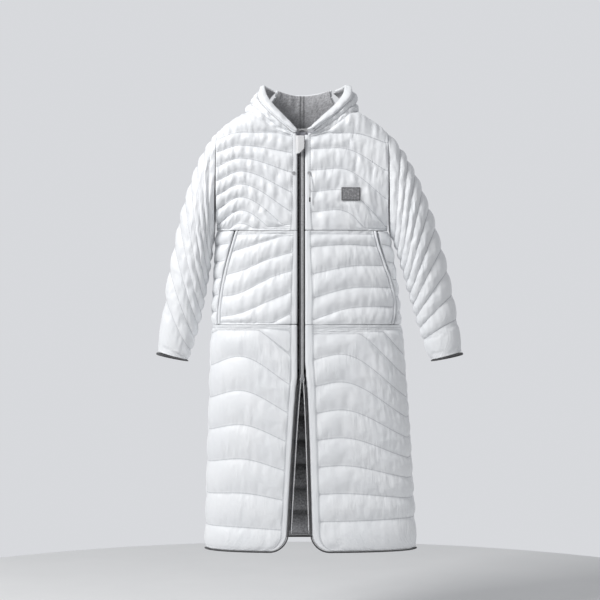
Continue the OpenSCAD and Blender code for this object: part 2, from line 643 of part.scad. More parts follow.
// The armhole's own edge, met by the head of the sleeve.
function head_at(side, turn) =
    let (
        z = mix(underarm_z, armhole_top_z, (1 + cos(turn)) / 2),
        fall = armhole_top_z - z,
        rolled = fall < shoulder_r ? acos(1 - fall / shoulder_r) * pi / 180 * shoulder_r
            : fall + roll_extra(),
        s = armhole_top_z + roll_extra() - rolled,
        face = sin(turn) >= 0 ? FRONT : BACK,
        y = depth_at(face, s) * edge_share(s) * sin(min(rolled / shoulder_r, pi / 2) * 180 / pi)
    ) [side * sleeve_start, -face * y, z];
function sleeve_at(side, turn, t) =
    oval_at(side, turn, t)
        + (head_at(side, turn) - oval_at(side, turn, 0)) * pow(1 - clamp(t / 0.35), 2);
cuff_start = 1 - cuff_binding_h / norm(3 * (outer_route(LEFT)[3] - outer_route(LEFT)[2]));
sleeve_turns = [for (i = [0:15]) i * 22.5];
module sleeve_layer(side, ts, outer, inner)
    skin(function(u, v) sleeve_at(side, u, v), sleeve_turns, ts, outer, inner,
        flip = side, du = 1, ring = true);
sleeve_rows = span(0, cuff_start - 0.002, 12);
module sleeve(side) sleeve_layer(side, sleeve_rows, level(0), level(shell_t - 2));
module sleeve_lining(side)
    sleeve_layer(side, [for (i = [1:12]) sleeve_rows[i]], level(shell_t - 2 + skin_gap),
        level(shell_t - 2 + skin_gap + lining_t));
module cuff_binding(side)
    sleeve_layer(side, [cuff_start, 1], level(-1), level(shell_t - 1));

// ---- the nodes -----------------------------------------------------------------------------
white = "whitesmoke";
fleece = "dimgray";
dark = [0.2, 0.2, 0.21];
color(white) front_upper(RIGHT);  // front_upper_right
color(white) front_upper(LEFT);  // front_upper_left
color(white) pocket_panel(RIGHT);  // pocket_panel_right
color(white) pocket_panel(LEFT);  // pocket_panel_left
color(white) pocket_edge(RIGHT);  // pocket_edge_right
color(white) pocket_edge(LEFT);  // pocket_edge_left
color(white) side_panel(RIGHT);  // side_panel_right
color(white) side_panel(LEFT);  // side_panel_left
color(fleece) pocket_bag(RIGHT);  // pocket_bag_right
color(fleece) pocket_bag(LEFT);  // pocket_bag_left
color(white) front_skirt(RIGHT);  // front_skirt_right
color(white) front_skirt(LEFT);  // front_skirt_left
color(white) back_upper();
color(white) back_middle();
color(white) back_skirt();
color(fleece) front_lining(RIGHT);  // front_lining_right
color(fleece) front_lining(LEFT);  // front_lining_left
color(fleece) back_lining();
color("lavender") back_neck_facing();
color("white") neck_tape();
color("saddlebrown") neck_label();
color(dark) hang_loop();
color(dark) front_binding(RIGHT);  // front_binding_right
color(dark) front_binding(LEFT);  // front_binding_left
color(dark) back_hem_binding();
color(dark) zip_tape(RIGHT);  // zip_tape_right
color(dark) zip_tape(LEFT);  // zip_tape_left
color("silver") zip_teeth(RIGHT);  // zip_teeth_right
color("silver") zip_teeth(LEFT);  // zip_teeth_left
color("silver") zip_end_pins();
color(white) zip_garage();
color("silver") on_zip(top_slider_drop) slider();  // upper_slider
color("silver") on_zip(top_slider_drop) pull_ring();  // upper_puller
color("silver") on_zip(slider_drop) slider();  // lower_slider
color("silver") on_zip(slider_drop) pull_ring();  // lower_puller
color("gray") chest_patch();
color("silver") cord_eyelets();
color("lightgray") drawcord();
color(dark) cord_tip();
color(white) hood_wall(RIGHT);  // hood_wall_right
color(white) hood_wall(LEFT);  // hood_wall_left
color(fleece) hood_wall_lining(RIGHT);  // hood_wall_lining_right
color(fleece) hood_wall_lining(LEFT);  // hood_wall_lining_left
color("white") hood_rim(RIGHT);  // hood_rim_right
color("white") hood_rim(LEFT);  // hood_rim_left
color("white") hood_rim_back();
color(white) hood_centre();
color(white) hood_side(RIGHT);  // hood_side_right
color(white) hood_side(LEFT);  // hood_side_left
color(white) hood_under();
color(fleece) hood_lining();
color(white) sleeve(RIGHT);  // sleeve_right
color(white) sleeve(LEFT);  // sleeve_left
color(fleece) sleeve_lining(RIGHT);  // sleeve_lining_right
color(fleece) sleeve_lining(LEFT);  // sleeve_lining_left
color(dark) cuff_binding(RIGHT);  // cuff_binding_right
color(dark) cuff_binding(LEFT);  // cuff_binding_left
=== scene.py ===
"""The looks of a long quilted hooded coat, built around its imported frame.

Distances in the functions are in millimetres, and every mesh is made in metres. The coat faces -Y,
+X is the wearer's left and Z is up. Its padded panels are inflated by a cloth simulation between
their sewn lines.
"""

import math

import bmesh
import bpy
import numpy as np
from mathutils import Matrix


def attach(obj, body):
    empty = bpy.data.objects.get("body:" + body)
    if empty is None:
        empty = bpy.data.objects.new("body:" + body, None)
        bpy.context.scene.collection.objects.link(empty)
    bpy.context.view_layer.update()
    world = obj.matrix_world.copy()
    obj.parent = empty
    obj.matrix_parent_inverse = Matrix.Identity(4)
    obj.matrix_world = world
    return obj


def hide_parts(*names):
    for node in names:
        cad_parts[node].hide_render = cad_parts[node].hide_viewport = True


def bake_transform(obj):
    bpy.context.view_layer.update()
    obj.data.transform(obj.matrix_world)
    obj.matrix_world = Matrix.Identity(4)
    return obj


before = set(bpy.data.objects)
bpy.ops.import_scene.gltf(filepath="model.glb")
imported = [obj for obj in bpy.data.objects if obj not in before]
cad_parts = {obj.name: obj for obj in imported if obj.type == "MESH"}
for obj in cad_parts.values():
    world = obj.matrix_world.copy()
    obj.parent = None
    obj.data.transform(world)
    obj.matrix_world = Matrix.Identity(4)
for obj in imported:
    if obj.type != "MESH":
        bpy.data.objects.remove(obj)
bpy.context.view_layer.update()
scene = bpy.context.scene
MM = 0.001

# ---- the camera, level with the coat's middle -----------------------------------------------
camera = bpy.data.objects.new("camera", bpy.data.cameras.new("camera"))
scene.collection.objects.link(camera)
camera.location = (-0.006, -4.5, -0.51)
camera.rotation_euler = (math.pi / 2, 0, 0)
camera.data.lens = 96.4
camera.data.sensor_width = 36
scene.camera = camera

# ---- sizes, as in the CAD part --------------------------------------------------------------
RIGHT, LEFT = -1, 1
FRONT, BACK = 1, -1
SHELL_T = 11
SKIN_GAP = 1.2
LINING_T = 3
LINING_SLACK = 3.4
SECTION_POWER = 2.4
ARMHOLE_X = 240
ARMHOLE_SHARE = 0.85
HEM_Z = -1204
BACK_HEM_Z = -1184
UNDERARM_Z = -322
SHOULDER_TOP = 62
SHOULDER_FALL = 106
SHOULDER_R = 50
ARMHOLE_TOP_Z = SHOULDER_TOP - SHOULDER_FALL
ARMHOLE_MID_Z = (ARMHOLE_TOP_Z + UNDERARM_Z) / 2
ROLL_EXTRA = SHOULDER_R * (math.pi / 2 - 1)
POCKET_TOP_Z = -318
WAIST_Z = -578
SLIDER_DROP = 722
ZIP_SLOPE = (100 - 62) / SLIDER_DROP
NECK_HALF = 160
NECK_FRONT_DROP = 54
NECK_BACK_DROP = 25
CORNER_R = 55
CORNER_Z = HEM_Z + CORNER_R
BINDING_W = 4
SEAM_GAP = 0.5
PANEL_INSET = BINDING_W + SEAM_GAP


# ---- small helpers --------------------------------------------------------------------------
def clamp(v, low=0.0, high=1.0):
    return np.clip(v, low, high)


def mix(a, b, t):
    return a + (b - a) * t


def smooth(t):
    c = clamp(t)
    return c * c * (3 - 2 * c)


def sgn_pow(v, power):
    return np.sign(v) * np.abs(v) ** power


def sin_deg(a):
    return np.sin(np.radians(a))


def cos_deg(a):
    return np.cos(np.radians(a))


def by_side(side, right, left):
    return np.where(np.asarray(side) < 0, right, left)


def points(x, y, z):
    return np.stack(np.broadcast_arrays(x, y, z), axis=-1).astype(float)


def unit(v):
    return v / np.maximum(np.linalg.norm(v, axis=-1, keepdims=True), 1e-9)


# ---- the coat's body surface: an angle round it, and a height s along it --------------------
def ridge_z(x):
    return SHOULDER_TOP - SHOULDER_FALL * (np.abs(x) / ARMHOLE_X) ** 2


def ridge_s(x):
    return ridge_z(x) + ROLL_EXTRA


def depth_at(face, s):
    if face == FRONT:
        return 62 + ZIP_SLOPE * clamp(-s, 0, SLIDER_DROP)
    return mix(56, 86, clamp(-s / -BACK_HEM_Z))


def edge_x(side, s):
    below = clamp((UNDERARM_Z - s) / (UNDERARM_Z - HEM_Z))
    return mix(ARMHOLE_X, by_side(side, 272, 320), below ** by_side(side, 0.7, 0.6))


def edge_share(s):
    t = clamp((s - UNDERARM_Z) / (ARMHOLE_MID_Z - UNDERARM_Z))
    return ARMHOLE_SHARE * sin_deg(90 * t) ** 0.75


def edge_angle(s):
    return np.degrees(np.arccos(edge_share(s) ** (SECTION_POWER / 2)))


def virtual_x(side, s):
    return edge_x(side, s) / sin_deg(edge_angle(s)) ** (2 / SECTION_POWER)


def body_x(angle, s):
    side = by_side(angle, RIGHT, LEFT)
    return virtual_x(side, s) * sgn_pow(sin_deg(angle), 2 / SECTION_POWER)


def body_at(face, angle, s):
    x = body_x(angle, s)
    down = ridge_s(x) - s
    turned = clamp(down / SHOULDER_R, -1, math.pi / 2)
    y = depth_at(face, s) * sgn_pow(cos_deg(angle), 2 / SECTION_POWER) * np.sin(turned)
    rolled = ridge_z(x) - SHOULDER_R * (1 - np.cos(turned))
    return points(x, -face * y, np.where(down >= SHOULDER_R * math.pi / 2, s, rolled))


def angle_of(x, s):
    side = by_side(x, RIGHT, LEFT)
    share = clamp(np.abs(x) / virtual_x(side, s)) ** (SECTION_POWER / 2)
    return side * np.degrees(np.arcsin(share))


def side_angle(face, s):
    cut = clamp((SEAM_GAP / 2 / depth_at(face, s)) ** (SECTION_POWER / 2))
    return np.minimum(edge_angle(s), np.degrees(np.arccos(cut)))


def neck_s(face, x):
    low = -NECK_FRONT_DROP if face == FRONT else -NECK_BACK_DROP
    return low + (ridge_s(NECK_HALF) - low) * clamp(np.abs(x) / NECK_HALF) ** 2.2


def top_s(face, x):
    return np.where(np.abs(x) < NECK_HALF, neck_s(face, x), ridge_s(x) - SEAM_GAP / 2)


def side_edge(face, side):
    return lambda s: side * side_angle(face, s)


def vent_shift(side, s):
    t = clamp((-s - SLIDER_DROP) / (-CORNER_Z - SLIDER_DROP))
    return side * by_side(side, 28 * t ** 0.8, 16 * t ** 0.7)


def corner_shift(s, radius):
    k = clamp((CORNER_Z - s) / radius)
    return radius * (1 - np.sqrt(1 - k * k))


def zip_side(side):
    return 13 if side == RIGHT else 10


def front_edge_x(side, s, inset):
    corner = corner_shift(s, CORNER_R - inset)
    return vent_shift(side, s) + side * (zip_side(side) - PANEL_INSET + inset + corner)


def front_edge(side, inset=PANEL_INSET, cover=0):
    """cover is how far the edge reaches over the zip tape above the lower slider."""
    def edge_line(s):
        reach = cover * smooth((s + SLIDER_DROP - 14) / 30)
        return angle_of(front_edge_x(side, s, inset) - side * reach, s)
    return edge_line


def pocket_edge_x(side, s):
    t = clamp((POCKET_TOP_Z - s) / (POCKET_TOP_Z - WAIST_Z))
    if side == RIGHT:
        return -(185 + 50 * sin_deg(90 * t))
    return 207 + 54 * sin_deg(120 * t ** 1.4)


def pocket_line(side, past):
    def angle(s):
        at = angle_of(pocket_edge_x(side, s), s)
        step = np.linalg.norm(body_at(FRONT, at + 0.5, s) - body_at(FRONT, at - 0.5, s), axis=-1)
        return at + side * past / step
    return angle


# ---- meshes ---------------------------------------------------------------------------------
def link_mesh(name, verts, faces, uvs=None, attributes=None, wrap=0):
    """A mesh object in metres from points in millimetres. uvs are per point, in metres, and wrap
    is the distance round a closed ring."""
    mesh = bpy.data.meshes.new(name)
    mesh.from_pydata((np.asarray(verts) * MM).tolist(), [], np.asarray(faces).tolist())
    if uvs is not None:
        layer = mesh.uv_layers.new(name="UVMap")
        loop_points = np.empty(len(mesh.loops), np.int32)
        mesh.loops.foreach_get("vertex_index", loop_points)
        corners = np.asarray(uvs)[loop_points].reshape(-1, 4, 2)
        if wrap:
            across = corners[..., 0]
            split = np.ptp(across, axis=1, keepdims=True) > wrap / 2
            across += np.where(split & (across < wrap / 2), wrap, 0)
        layer.data.foreach_set("uv", corners.ravel().astype(np.float32))
    for key, values in (attributes or {}).items():
        layer = mesh.attributes.new(key, "FLOAT", "POINT")
        layer.data.foreach_set("value", np.asarray(values, np.float32))
    mesh.shade_smooth()
    thing = bpy.data.objects.new(name, mesh)
    scene.collection.objects.link(thing)
    return thing


def grid_faces(rows, columns, ring=False, start=0, turned=False):
    """Quads of a grid whose points run along each row."""
    j, i = np.meshgrid(np.arange(rows - 1), np.arange(columns - (0 if ring else 1)), indexing="ij")
    after = (i + 1) % columns
    quads = np.stack([j * columns + i, j * columns + after, (j + 1) * columns + after,
                      (j + 1) * columns + i], -1).reshape(-1, 4) + start
    return quads[:, ::-1] if turned else quads


def border(rows, columns, ring=False):
    """The grid's outline as a closed loop of point numbers, or its first and last rings."""
    if ring:
        return [list(range(columns)), [(rows - 1) * columns + i for i in range(columns)]]
    first = list(range(columns))
    right = [j * columns + columns - 1 for j in range(1, rows)]
    last = [(rows - 1) * columns + i for i in range(columns - 2, -1, -1)]
    left = [j * columns for j in range(rows - 2, 0, -1)]
    return [first + right + last + left]


def grid_normals(grid, ring=False):
    """Unit normals of a grid of points, by differences along its rows and columns."""
    if ring:
        along = np.roll(grid, -1, 1) - np.roll(grid, 1, 1)
    else:
        along = np.gradient(grid, axis=1)
    return unit(np.cross(along, np.gradient(grid, axis=0)))


def outward(grid, centre, ring=False):
    """The grid's normals, turned away from the centre points, and whether they had to turn."""
    normals = grid_normals(grid, ring)
    away = np.sum(normals * (grid - centre)) > 0
    return (normals if away else -normals), not away


def lengths(grid):
    """Distances in metres along the rows and down the columns, for texture coordinates."""
    across = np.linalg.norm(np.diff(grid, axis=1), axis=-1).cumsum(1)
    down = np.linalg.norm(np.diff(grid, axis=0), axis=-1).cumsum(0)
    u = np.concatenate([np.zeros((grid.shape[0], 1)), across], 1)
    v = np.concatenate([np.zeros((1, grid.shape[1])), down], 0)
    return np.stack([u, v], -1).reshape(-1, 2) * MM


def shell_mesh(name, outer, inner, turned, ring=False, attributes=None):
    """A closed piece between two grids of points."""
    rows, columns = outer.shape[:2]
    count = rows * columns
    faces = [grid_faces(rows, columns, ring, 0, turned),
             grid_faces(rows, columns, ring, count, not turned)]
    for k, loop in enumerate(border(rows, columns, ring)):
        a = np.array(loop)
        b = np.roll(a, -1)
        wall = np.stack([a, b, b + count, a + count], -1)
        backwards = (not turned) if not (ring and k == 1) else turned
        faces.append(wall[:, ::-1] if backwards else wall)
    verts = np.concatenate([outer.reshape(-1, 3), inner.reshape(-1, 3)])
    uvs = lengths(outer)
    wrap = uvs[:, 0].max() * columns / (columns - 1) if ring else 0
    both = {key: np.concatenate([v, v]) for key, v in (attributes or {}).items()}
    return link_mesh(name, verts, np.concatenate(faces), np.concatenate([uvs, uvs]), both, wrap)


# ---- quilted panels -------------------------------------------------------------------------
SEW_DEPTH = 5.5  # how far a sewn line is drawn in
END_DEPTH = 1.1  # how far a panel's own edges are drawn in
PUFF = 8  # how far a channel rises above its sewn lines before it is inflated
CELL = 5.4  # the usual spacing of a panel's points
FULL_DROP = 30  # a channel at least this tall rises all the way
FOLD = 1.3  # the spread of the wrinkles, in units of a panel's own wrinkle height
SIDE_REACH = 13  # the rise grows over this distance from a panel's side edges
ZONE_FADE = 14
ZONE_DEPTH = 0.6  # how far a flat zone, such as the one under the patch, lies in
STRIP_DEPTH = 1.2
STRIP_CROWN = 1.4
STITCH_DEPTH = 2.4
random = np.random.default_rng(11)
quilts = []


def blurred(values, passes):
    """Rows of numbers evened out along their length, keeping their spread."""
    for _ in range(passes):
        values = (np.roll(values, 1, -1) + 2 * values + np.roll(values, -1, -1)) / 4
    return values / max(values.std(), 1e-6)


def flat_share(base, zones):
    """How much each point belongs to a flat zone (x, z, half width, half height)."""
    share = np.zeros(base.shape[:2])
    for x, z, half_w, half_h in zones:
        past = np.hypot(np.maximum(np.abs(base[..., 0] - x) - half_w, 0),
                        np.maximum(np.abs(base[..., 2] - z) - half_h, 0))
        share = np.maximum(share, 1 - smooth(past / ZONE_FADE))
    return share


def quilt(name, place, lines, width, centre, body, ring=False, thick=SHELL_T, puff=PUFF,
          cell=CELL, gap=5, wrinkle=0.5, loose=0.008, strip=0, zones=()):
    """Plans a padded panel. place(u, v) gives points on its outer face. Each of the lines is a
    level v, or a function of u that gives v along it, the panel's two end seams first and last.
    Lines stay at least a gap apart. A strip is a flat stitched border along u = 0."""
    columns = max(int(round(width / cell)), 4)
    u = np.arange(columns) / columns if ring else np.linspace(0, 1, columns + 1)
    seams = np.array([(line(u) if callable(line) else line) * np.ones_like(u) for line in lines])
    way = np.sign(seams[-1].mean() - seams[0].mean())
    for k in range(1, len(seams) - 1):
        seams[k] = way * np.maximum(way * seams[k], way * seams[k - 1] + gap)
    for k in range(len(seams) - 2, 0, -1):
        seams[k] = way * np.minimum(way * seams[k], way * seams[k + 1] - gap)
    v, rise, folds, line_rows = [], [], [], []
    for k in range(len(seams) - 1):
        drop = np.linalg.norm(place(u, seams[k]) - place(u, seams[k + 1]), axis=-1)
        steps = max(int(round(np.percentile(drop, 75) / cell)), 3)
        line_rows.append(len(v))
        upper, lower = FOLD * blurred(random.standard_normal((2, len(u))), 1)
        for i in range(steps):
            f = i / steps
            v.append(mix(seams[k], seams[k + 1], f))
            rise.append(math.sin(math.pi * f) ** 0.7 * np.minimum(drop / FULL_DROP, 1))
            folds.append(mix(upper, lower, smooth(f)) * math.sin(math.pi * f) ** 0.5)
    line_rows.append(len(v))
    v = np.array(v + [seams[-1]])
    rise = np.array(rise + [0 * u])
    folds = np.array(folds + [0 * u])
    base = place(np.broadcast_to(u, v.shape), v)
    normals, turned = outward(base, centre(base), ring)
    pinned = np.zeros(v.shape, bool)
    pinned[line_rows] = True
    sewn = pinned * 1.0
    sewn[[0, -1]] = 0.5
    depth = np.full(v.shape, float(SEW_DEPTH))
    depth[[0, -1]] = END_DEPTH
    side_rise = 1.0
    if not ring:
        pinned[:, [0, -1]] = True
        sewn[:, [0, -1]] = 0.5
        near = np.minimum(np.arange(v.shape[1]), np.arange(v.shape[1])[::-1])
        side_rise = np.minimum(near * cell / SIDE_REACH, 1) ** 0.6
        depth = mix(END_DEPTH, depth, np.minimum(near / 2, 1))
    lift = -depth + (puff * rise + wrinkle * folds) * side_rise
    flat = flat_share(base, zones)
    lift = mix(lift, -ZONE_DEPTH, flat)
    pinned |= flat > 0.9
    if strip:
        away = u * width
        stitched = int(np.argmin(np.abs(away - strip)))
        lift[:, :stitched] = STRIP_CROWN * np.sin(math.pi * away[:stitched] / strip) - STRIP_DEPTH
        lift[:, stitched] = -STITCH_DEPTH
        pinned[:, :stitched + 1] = True
        sewn[:, 1:stitched] = 0
        sewn[:, stitched] = 1
    start = base + normals * lift[..., None]
    quilts.append(dict(name=name, base=base, start=start, normals=normals, turned=turned,
                       pinned=pinned, sewn=sewn, ring=ring, thick=thick, body=body, loose=loose))


CLOTH_FRAMES = 22
CLOTH_SETTINGS = dict(quality=4, mass=0.004, air_damping=2, tension_stiffness=12,
                      compression_stiffness=12, shear_stiffness=5, bending_stiffness=0.05,
                      vertex_group_mass="sewn", use_pressure=True, uniform_pressure_force=6)
MOST_MOVE = 9  # how far the cloth may move from where it starts


def inflate():
    """Runs every panel's cloth together and keeps where its points come to rest."""
    sheets = []
    for q in quilts:
        rows, columns = q["start"].shape[:2]
        sheet = link_mesh("cloth_" + q["name"], q["start"].reshape(-1, 3),
                          grid_faces(rows, columns, q["ring"], 0, q["turned"]))
        group = sheet.vertex_groups.new(name="sewn")
        group.add(np.flatnonzero(q["pinned"]).tolist(), 1, "REPLACE")
        cloth = sheet.modifiers.new("cloth", "CLOTH")
        for key, value in CLOTH_SETTINGS.items():
            setattr(cloth.settings, key, value)
        cloth.settings.shrink_min = -q["loose"]
        cloth.settings.effector_weights.gravity = 0
        cloth.collision_settings.use_collision = False
        cloth.collision_settings.use_self_collision = False
        cloth.point_cache.frame_end = CLOTH_FRAMES
        sheets.append(sheet)
    for frame_number in range(1, CLOTH_FRAMES + 1):
        scene.frame_set(frame_number)
    graph = bpy.context.evaluated_depsgraph_get()
    for q, sheet in zip(quilts, sheets):
        settled = np.empty(q["start"].size, np.float32)
        sheet.evaluated_get(graph).data.vertices.foreach_get("co", settled)
        moved = settled.reshape(q["start"].shape) / MM - q["start"]
        far = np.linalg.norm(moved, axis=-1, keepdims=True)
        moved = moved * np.minimum(1, MOST_MOVE / np.maximum(far, 1e-6))
        q["start"] = q["start"] + moved
        bpy.data.objects.remove(sheet)
    scene.frame_set(1)


def subdivide(thing):
    modifier = thing.modifiers.new("smooth", "SUBSURF")
    modifier.levels = 1
    modifier.render_levels = 1
    graph = bpy.context.evaluated_depsgraph_get()
    mesh = bpy.data.meshes.new_from_object(thing.evaluated_get(graph))
    thing.modifiers.clear()
    thing.data = mesh
    return thing


def finish_quilts():
    made = {}
    for q in quilts:
        inner = q["base"] - q["normals"] * q["thick"]
        sewn = q["sewn"].ravel()
        made[q["name"]] = subdivide(shell_mesh(q["name"] + "_quilt", q["start"], inner, q["turned"],
                                               q["ring"], {"sewn": sewn}))
    return made


# ---- the body's panels ----------------------------------------------------------------------
def body_place(face, start, end):
    return lambda u, s: body_at(face, mix(start(s), end(s), u), s)


def body_centre(grid):
    return points(grid[..., 0] * 0.6, 0, grid[..., 2])


def along(start, end, height):
    """A sewn line at a height that depends on x, as a function of u."""
    def line(u):
        s = np.full_like(u, height(0.0))
        for _ in range(6):
            s = height(body_x(mix(start(s), end(s), u), s))
        return s
    return line


def neck_line(face, start, end):
    def line(u):
        s0 = top_s(face, 0)
        return top_s(face, body_x(mix(start(s0), end(s0), u), s0))
    return line


def wave(*stations):
    """A smooth line of heights through the stations (x, z), level at each peak and dip."""
    xs, zs = (np.array(part, float) for part in zip(*sorted(stations)))
    secants = np.diff(zs) / np.diff(xs)
    before, after = secants[:-1], secants[1:]
    between = np.where(before * after > 0, (before + after) / 2, 0)
    slopes = np.concatenate([secants[:1], between, secants[-1:]])

    def height(x):
        k = clamp(np.searchsorted(xs, x) - 1, 0, len(xs) - 2).astype(int)
        wide = xs[k + 1] - xs[k]
        t = clamp((x - xs[k]) / wide)
        level = zs[k] * (1 + 2 * t) * (1 - t) ** 2 + zs[k + 1] * (3 - 2 * t) * t ** 2
        return level + wide * (slopes[k] * t * (1 - t) ** 2 - slopes[k + 1] * (1 - t) * t ** 2)
    return height


def body_quilt(name, face, start, end, top, waves, bottom, width, **more):
    sewn = [along(start, end, w) if callable(w) else w for w in waves]
    lines = [top] + sewn + [bottom]
    quilt(name, body_place(face, start, end), lines, width, body_centre, "coat", **more)


HALF_GAP = SEAM_GAP / 2
chest_waves = {
    RIGHT: [wave((-235, -60 - 40 * k), (-171, -46 - 36 * k), (-25, -48 - 55.5 * k))
            for k in range(8)],
    LEFT: [wave((30, -48), (134, -48), (230, -72)),
           wave((30, -92), (130, -94), (232, -152)),
           wave((30, -151), (128, -152), (234, -232)),
           wave((30, -210), (130, -212), (240, -311)),
           wave((30, -266), (126, -268), (190, -330))],
}
pocket_waves = {
    RIGHT: [wave((-230, -386), (-90, -344), (-40, -329)),
            wave((-240, -446), (-162, -426), (-101, -400), (-20, -376)),
            wave((-244, -501), (-182, -493), (-73, -442), (-20, -427)),
            wave((-244, -557), (-182, -549), (-73, -504), (-20, -483)),
            wave((-130, -590), (-90, -577), (-20, -538))],
    LEFT: [wave((17, -364), (120, -357), (220, -362)),
           wave((20, -440), (140, -416), (240, -414)),
           wave((20, -507), (132, -477), (255, -475)),
           wave((28, -566), (132, -532), (263, -529))],
}
skirt_waves = {
    RIGHT: [wave((-272, -609 - 87.5 * k), (-174, -571 - 94 * k), (-25, -669 - 79 * k))
            for k in range(7)],
    LEFT: [wave((30, -600 - 74 * k), (106, -582 - 76.5 * k), (295, -725 - 55.5 * k))
           for k in range(-2, 8)],
}
SIDES = ((RIGHT, "right"), (LEFT, "left"))
STRIP = 12  # the stitched strip beside the zip
WELT = 9  # the stitched band along a cross seam
PATCH = (134, -217.5, 26, 18.5)  # the chest patch: middle x and z, half width, half height
EYELETS = ((-23, -160), (19, -160))


for side, word in SIDES:
    edge = front_edge(side, cover=3 if side == LEFT else 0)
    seam = side_edge(FRONT, side)
    flats = [(x, z, 3, 3) for x, z in EYELETS if x * side > 0] + ([PATCH] if side == LEFT else [])
    body_quilt("front_upper_" + word, FRONT, edge, seam, neck_line(FRONT, edge, seam),
               chest_waves[side], POCKET_TOP_Z + HALF_GAP, 262, strip=STRIP, zones=flats,
               wrinkle=1.5, loose=0.012)
    body_quilt("pocket_panel_" + word, FRONT, edge, pocket_line(side, -8.5),
               POCKET_TOP_Z - HALF_GAP,
               [POCKET_TOP_Z - WELT] + pocket_waves[side], WAIST_Z + HALF_GAP, 225,
               strip=STRIP, wrinkle=0.8)
    side_waves = [wave((side * 190, -350 - 46 * k), (side * 270, -362 - 46 * k)) for k in range(5)]
    body_quilt("side_panel_" + word, FRONT, pocket_line(side, 5), seam,
               POCKET_TOP_Z - HALF_GAP, side_waves, WAIST_Z + HALF_GAP, 60)
    body_quilt("front_skirt_" + word, FRONT, edge, seam, WAIST_Z - HALF_GAP,
               [WAIST_Z - WELT] + skirt_waves[side], HEM_Z + PANEL_INSET, 310,
               strip=STRIP)
back_edges = side_edge(BACK, RIGHT), side_edge(BACK, LEFT)


def back_waves(top, count, drop, bow):
    return [wave((-290, top - drop * k - bow), (-100, top - drop * k + bow / 2),
                 (100, top - drop * k - bow / 2), (290, top - drop * k + bow))
            for k in range(count)]


body_quilt("back_upper", BACK, *back_edges, neck_line(BACK, *back_edges),
           back_waves(-20, 7, 44, 9), POCKET_TOP_Z + HALF_GAP, 500, cell=6.5, wrinkle=1.1)
body_quilt("back_middle", BACK, *back_edges, POCKET_TOP_Z - HALF_GAP,
           back_waves(-366, 5, 46, 10), WAIST_Z + HALF_GAP, 560, cell=6.5)
body_quilt("back_skirt", BACK, *back_edges, WAIST_Z - HALF_GAP,
           back_waves(-640, 9, 60, 14), BACK_HEM_Z + PANEL_INSET, 620, cell=6.5)

# ---- sleeves --------------------------------------------------------------------------------
SLEEVE_START = ARMHOLE_X + 1.5
CUFF_W = 88
CUFF_DEPTH = 78
CUFF_DROP = 673
CUFF_LEAN = 9
ELBOW_DEPTH = 150
CUFF_START = 0.991


def cuff_x(side):
    return 364 if side == RIGHT else 406


def outer_route(side):
    return [(SLEEVE_START, ARMHOLE_TOP_Z), (320 if side == RIGHT else 330, ARMHOLE_TOP_Z - 76),
            (cuff_x(side) + 8, -CUFF_DROP * 0.55),
            (cuff_x(side) + CUFF_W / 2, -CUFF_DROP + CUFF_LEAN)]


def inner_route(side):
    return [(SLEEVE_START + 1, UNDERARM_Z), (254 if side == RIGHT else 284, UNDERARM_Z - 86),
            (cuff_x(side) - (92 if side == RIGHT else 102), -CUFF_DROP * 0.83),
            (cuff_x(side) - CUFF_W / 2, -CUFF_DROP - CUFF_LEAN)]


def bezier(route, t):
    t = np.asarray(t)[..., None]
    q = 1 - t
    a, b, c, d = np.array(route, float)
    return a * q ** 3 + b * 3 * q * q * t + c * 3 * q * t * t + d * t ** 3


def sleeve_half_depth(t):
    return mix(mix(72, ELBOW_DEPTH / 2, smooth(t / 0.5)), CUFF_DEPTH / 2, smooth((t - 0.35) / 0.65))


def oval_at(side, turn, t):
    outer, inner = bezier(outer_route(side), t), bezier(inner_route(side), t)
    at = (outer + inner) / 2 + (outer - inner) / 2 * cos_deg(turn)[..., None]
    return points(side * at[..., 0], -sleeve_half_depth(t) * sin_deg(turn), at[..., 1])


def head_at(side, turn):
    z = mix(UNDERARM_Z, ARMHOLE_TOP_Z, (1 + cos_deg(turn)) / 2)
    fall = ARMHOLE_TOP_Z - z
    rolled = np.where(fall < SHOULDER_R,
                      np.arccos(clamp(1 - fall / SHOULDER_R, -1, 1)) * SHOULDER_R,
                      fall + ROLL_EXTRA)
    s = ARMHOLE_TOP_Z + ROLL_EXTRA - rolled
    face = np.where(sin_deg(turn) >= 0, 1, -1)
    depth = np.where(face > 0, depth_at(FRONT, s), depth_at(BACK, s))
    y = depth * edge_share(s) * np.sin(np.minimum(rolled / SHOULDER_R, math.pi / 2))
    return points(side * SLEEVE_START, -face * y, z)


def sleeve_at(side, turn, t):
    turn, t = np.broadcast_arrays(np.asarray(turn, float), np.asarray(t, float))
    fade = (1 - clamp(t / 0.35))[..., None] ** 2
    return oval_at(side, turn, t) + (head_at(side, turn) - oval_at(side, turn, 0 * t)) * fade


def tube_centre(grid):
    return np.broadcast_to(grid.mean(axis=1, keepdims=True), grid.shape)


def sleeve_place(side):
    """u runs once round, from the underarm."""
    return lambda u, t: sleeve_at(side, 360 * u + 180, t)


def ring_line(t, lean):
    return lambda u: t + lean * cos_deg(360 * u + 180)


for side, word in SIDES:
    if side == LEFT:
        sewn_rings = [ring_line(0.115 + 0.083 * k, 0.022) for k in range(10)]
    else:
        sewn_rings = [ring_line(0.12 + 0.093 * k, -0.055) for k in range(9)]
    sleeve_lines = [-0.003] + sewn_rings + [CUFF_START - 0.002]
    quilt("sleeve_" + word, sleeve_place(side), sleeve_lines, 430, tube_centre,
          word + "_sleeve", ring=True, thick=SHELL_T - 2, gap=0.006, puff=6, loose=0.012)

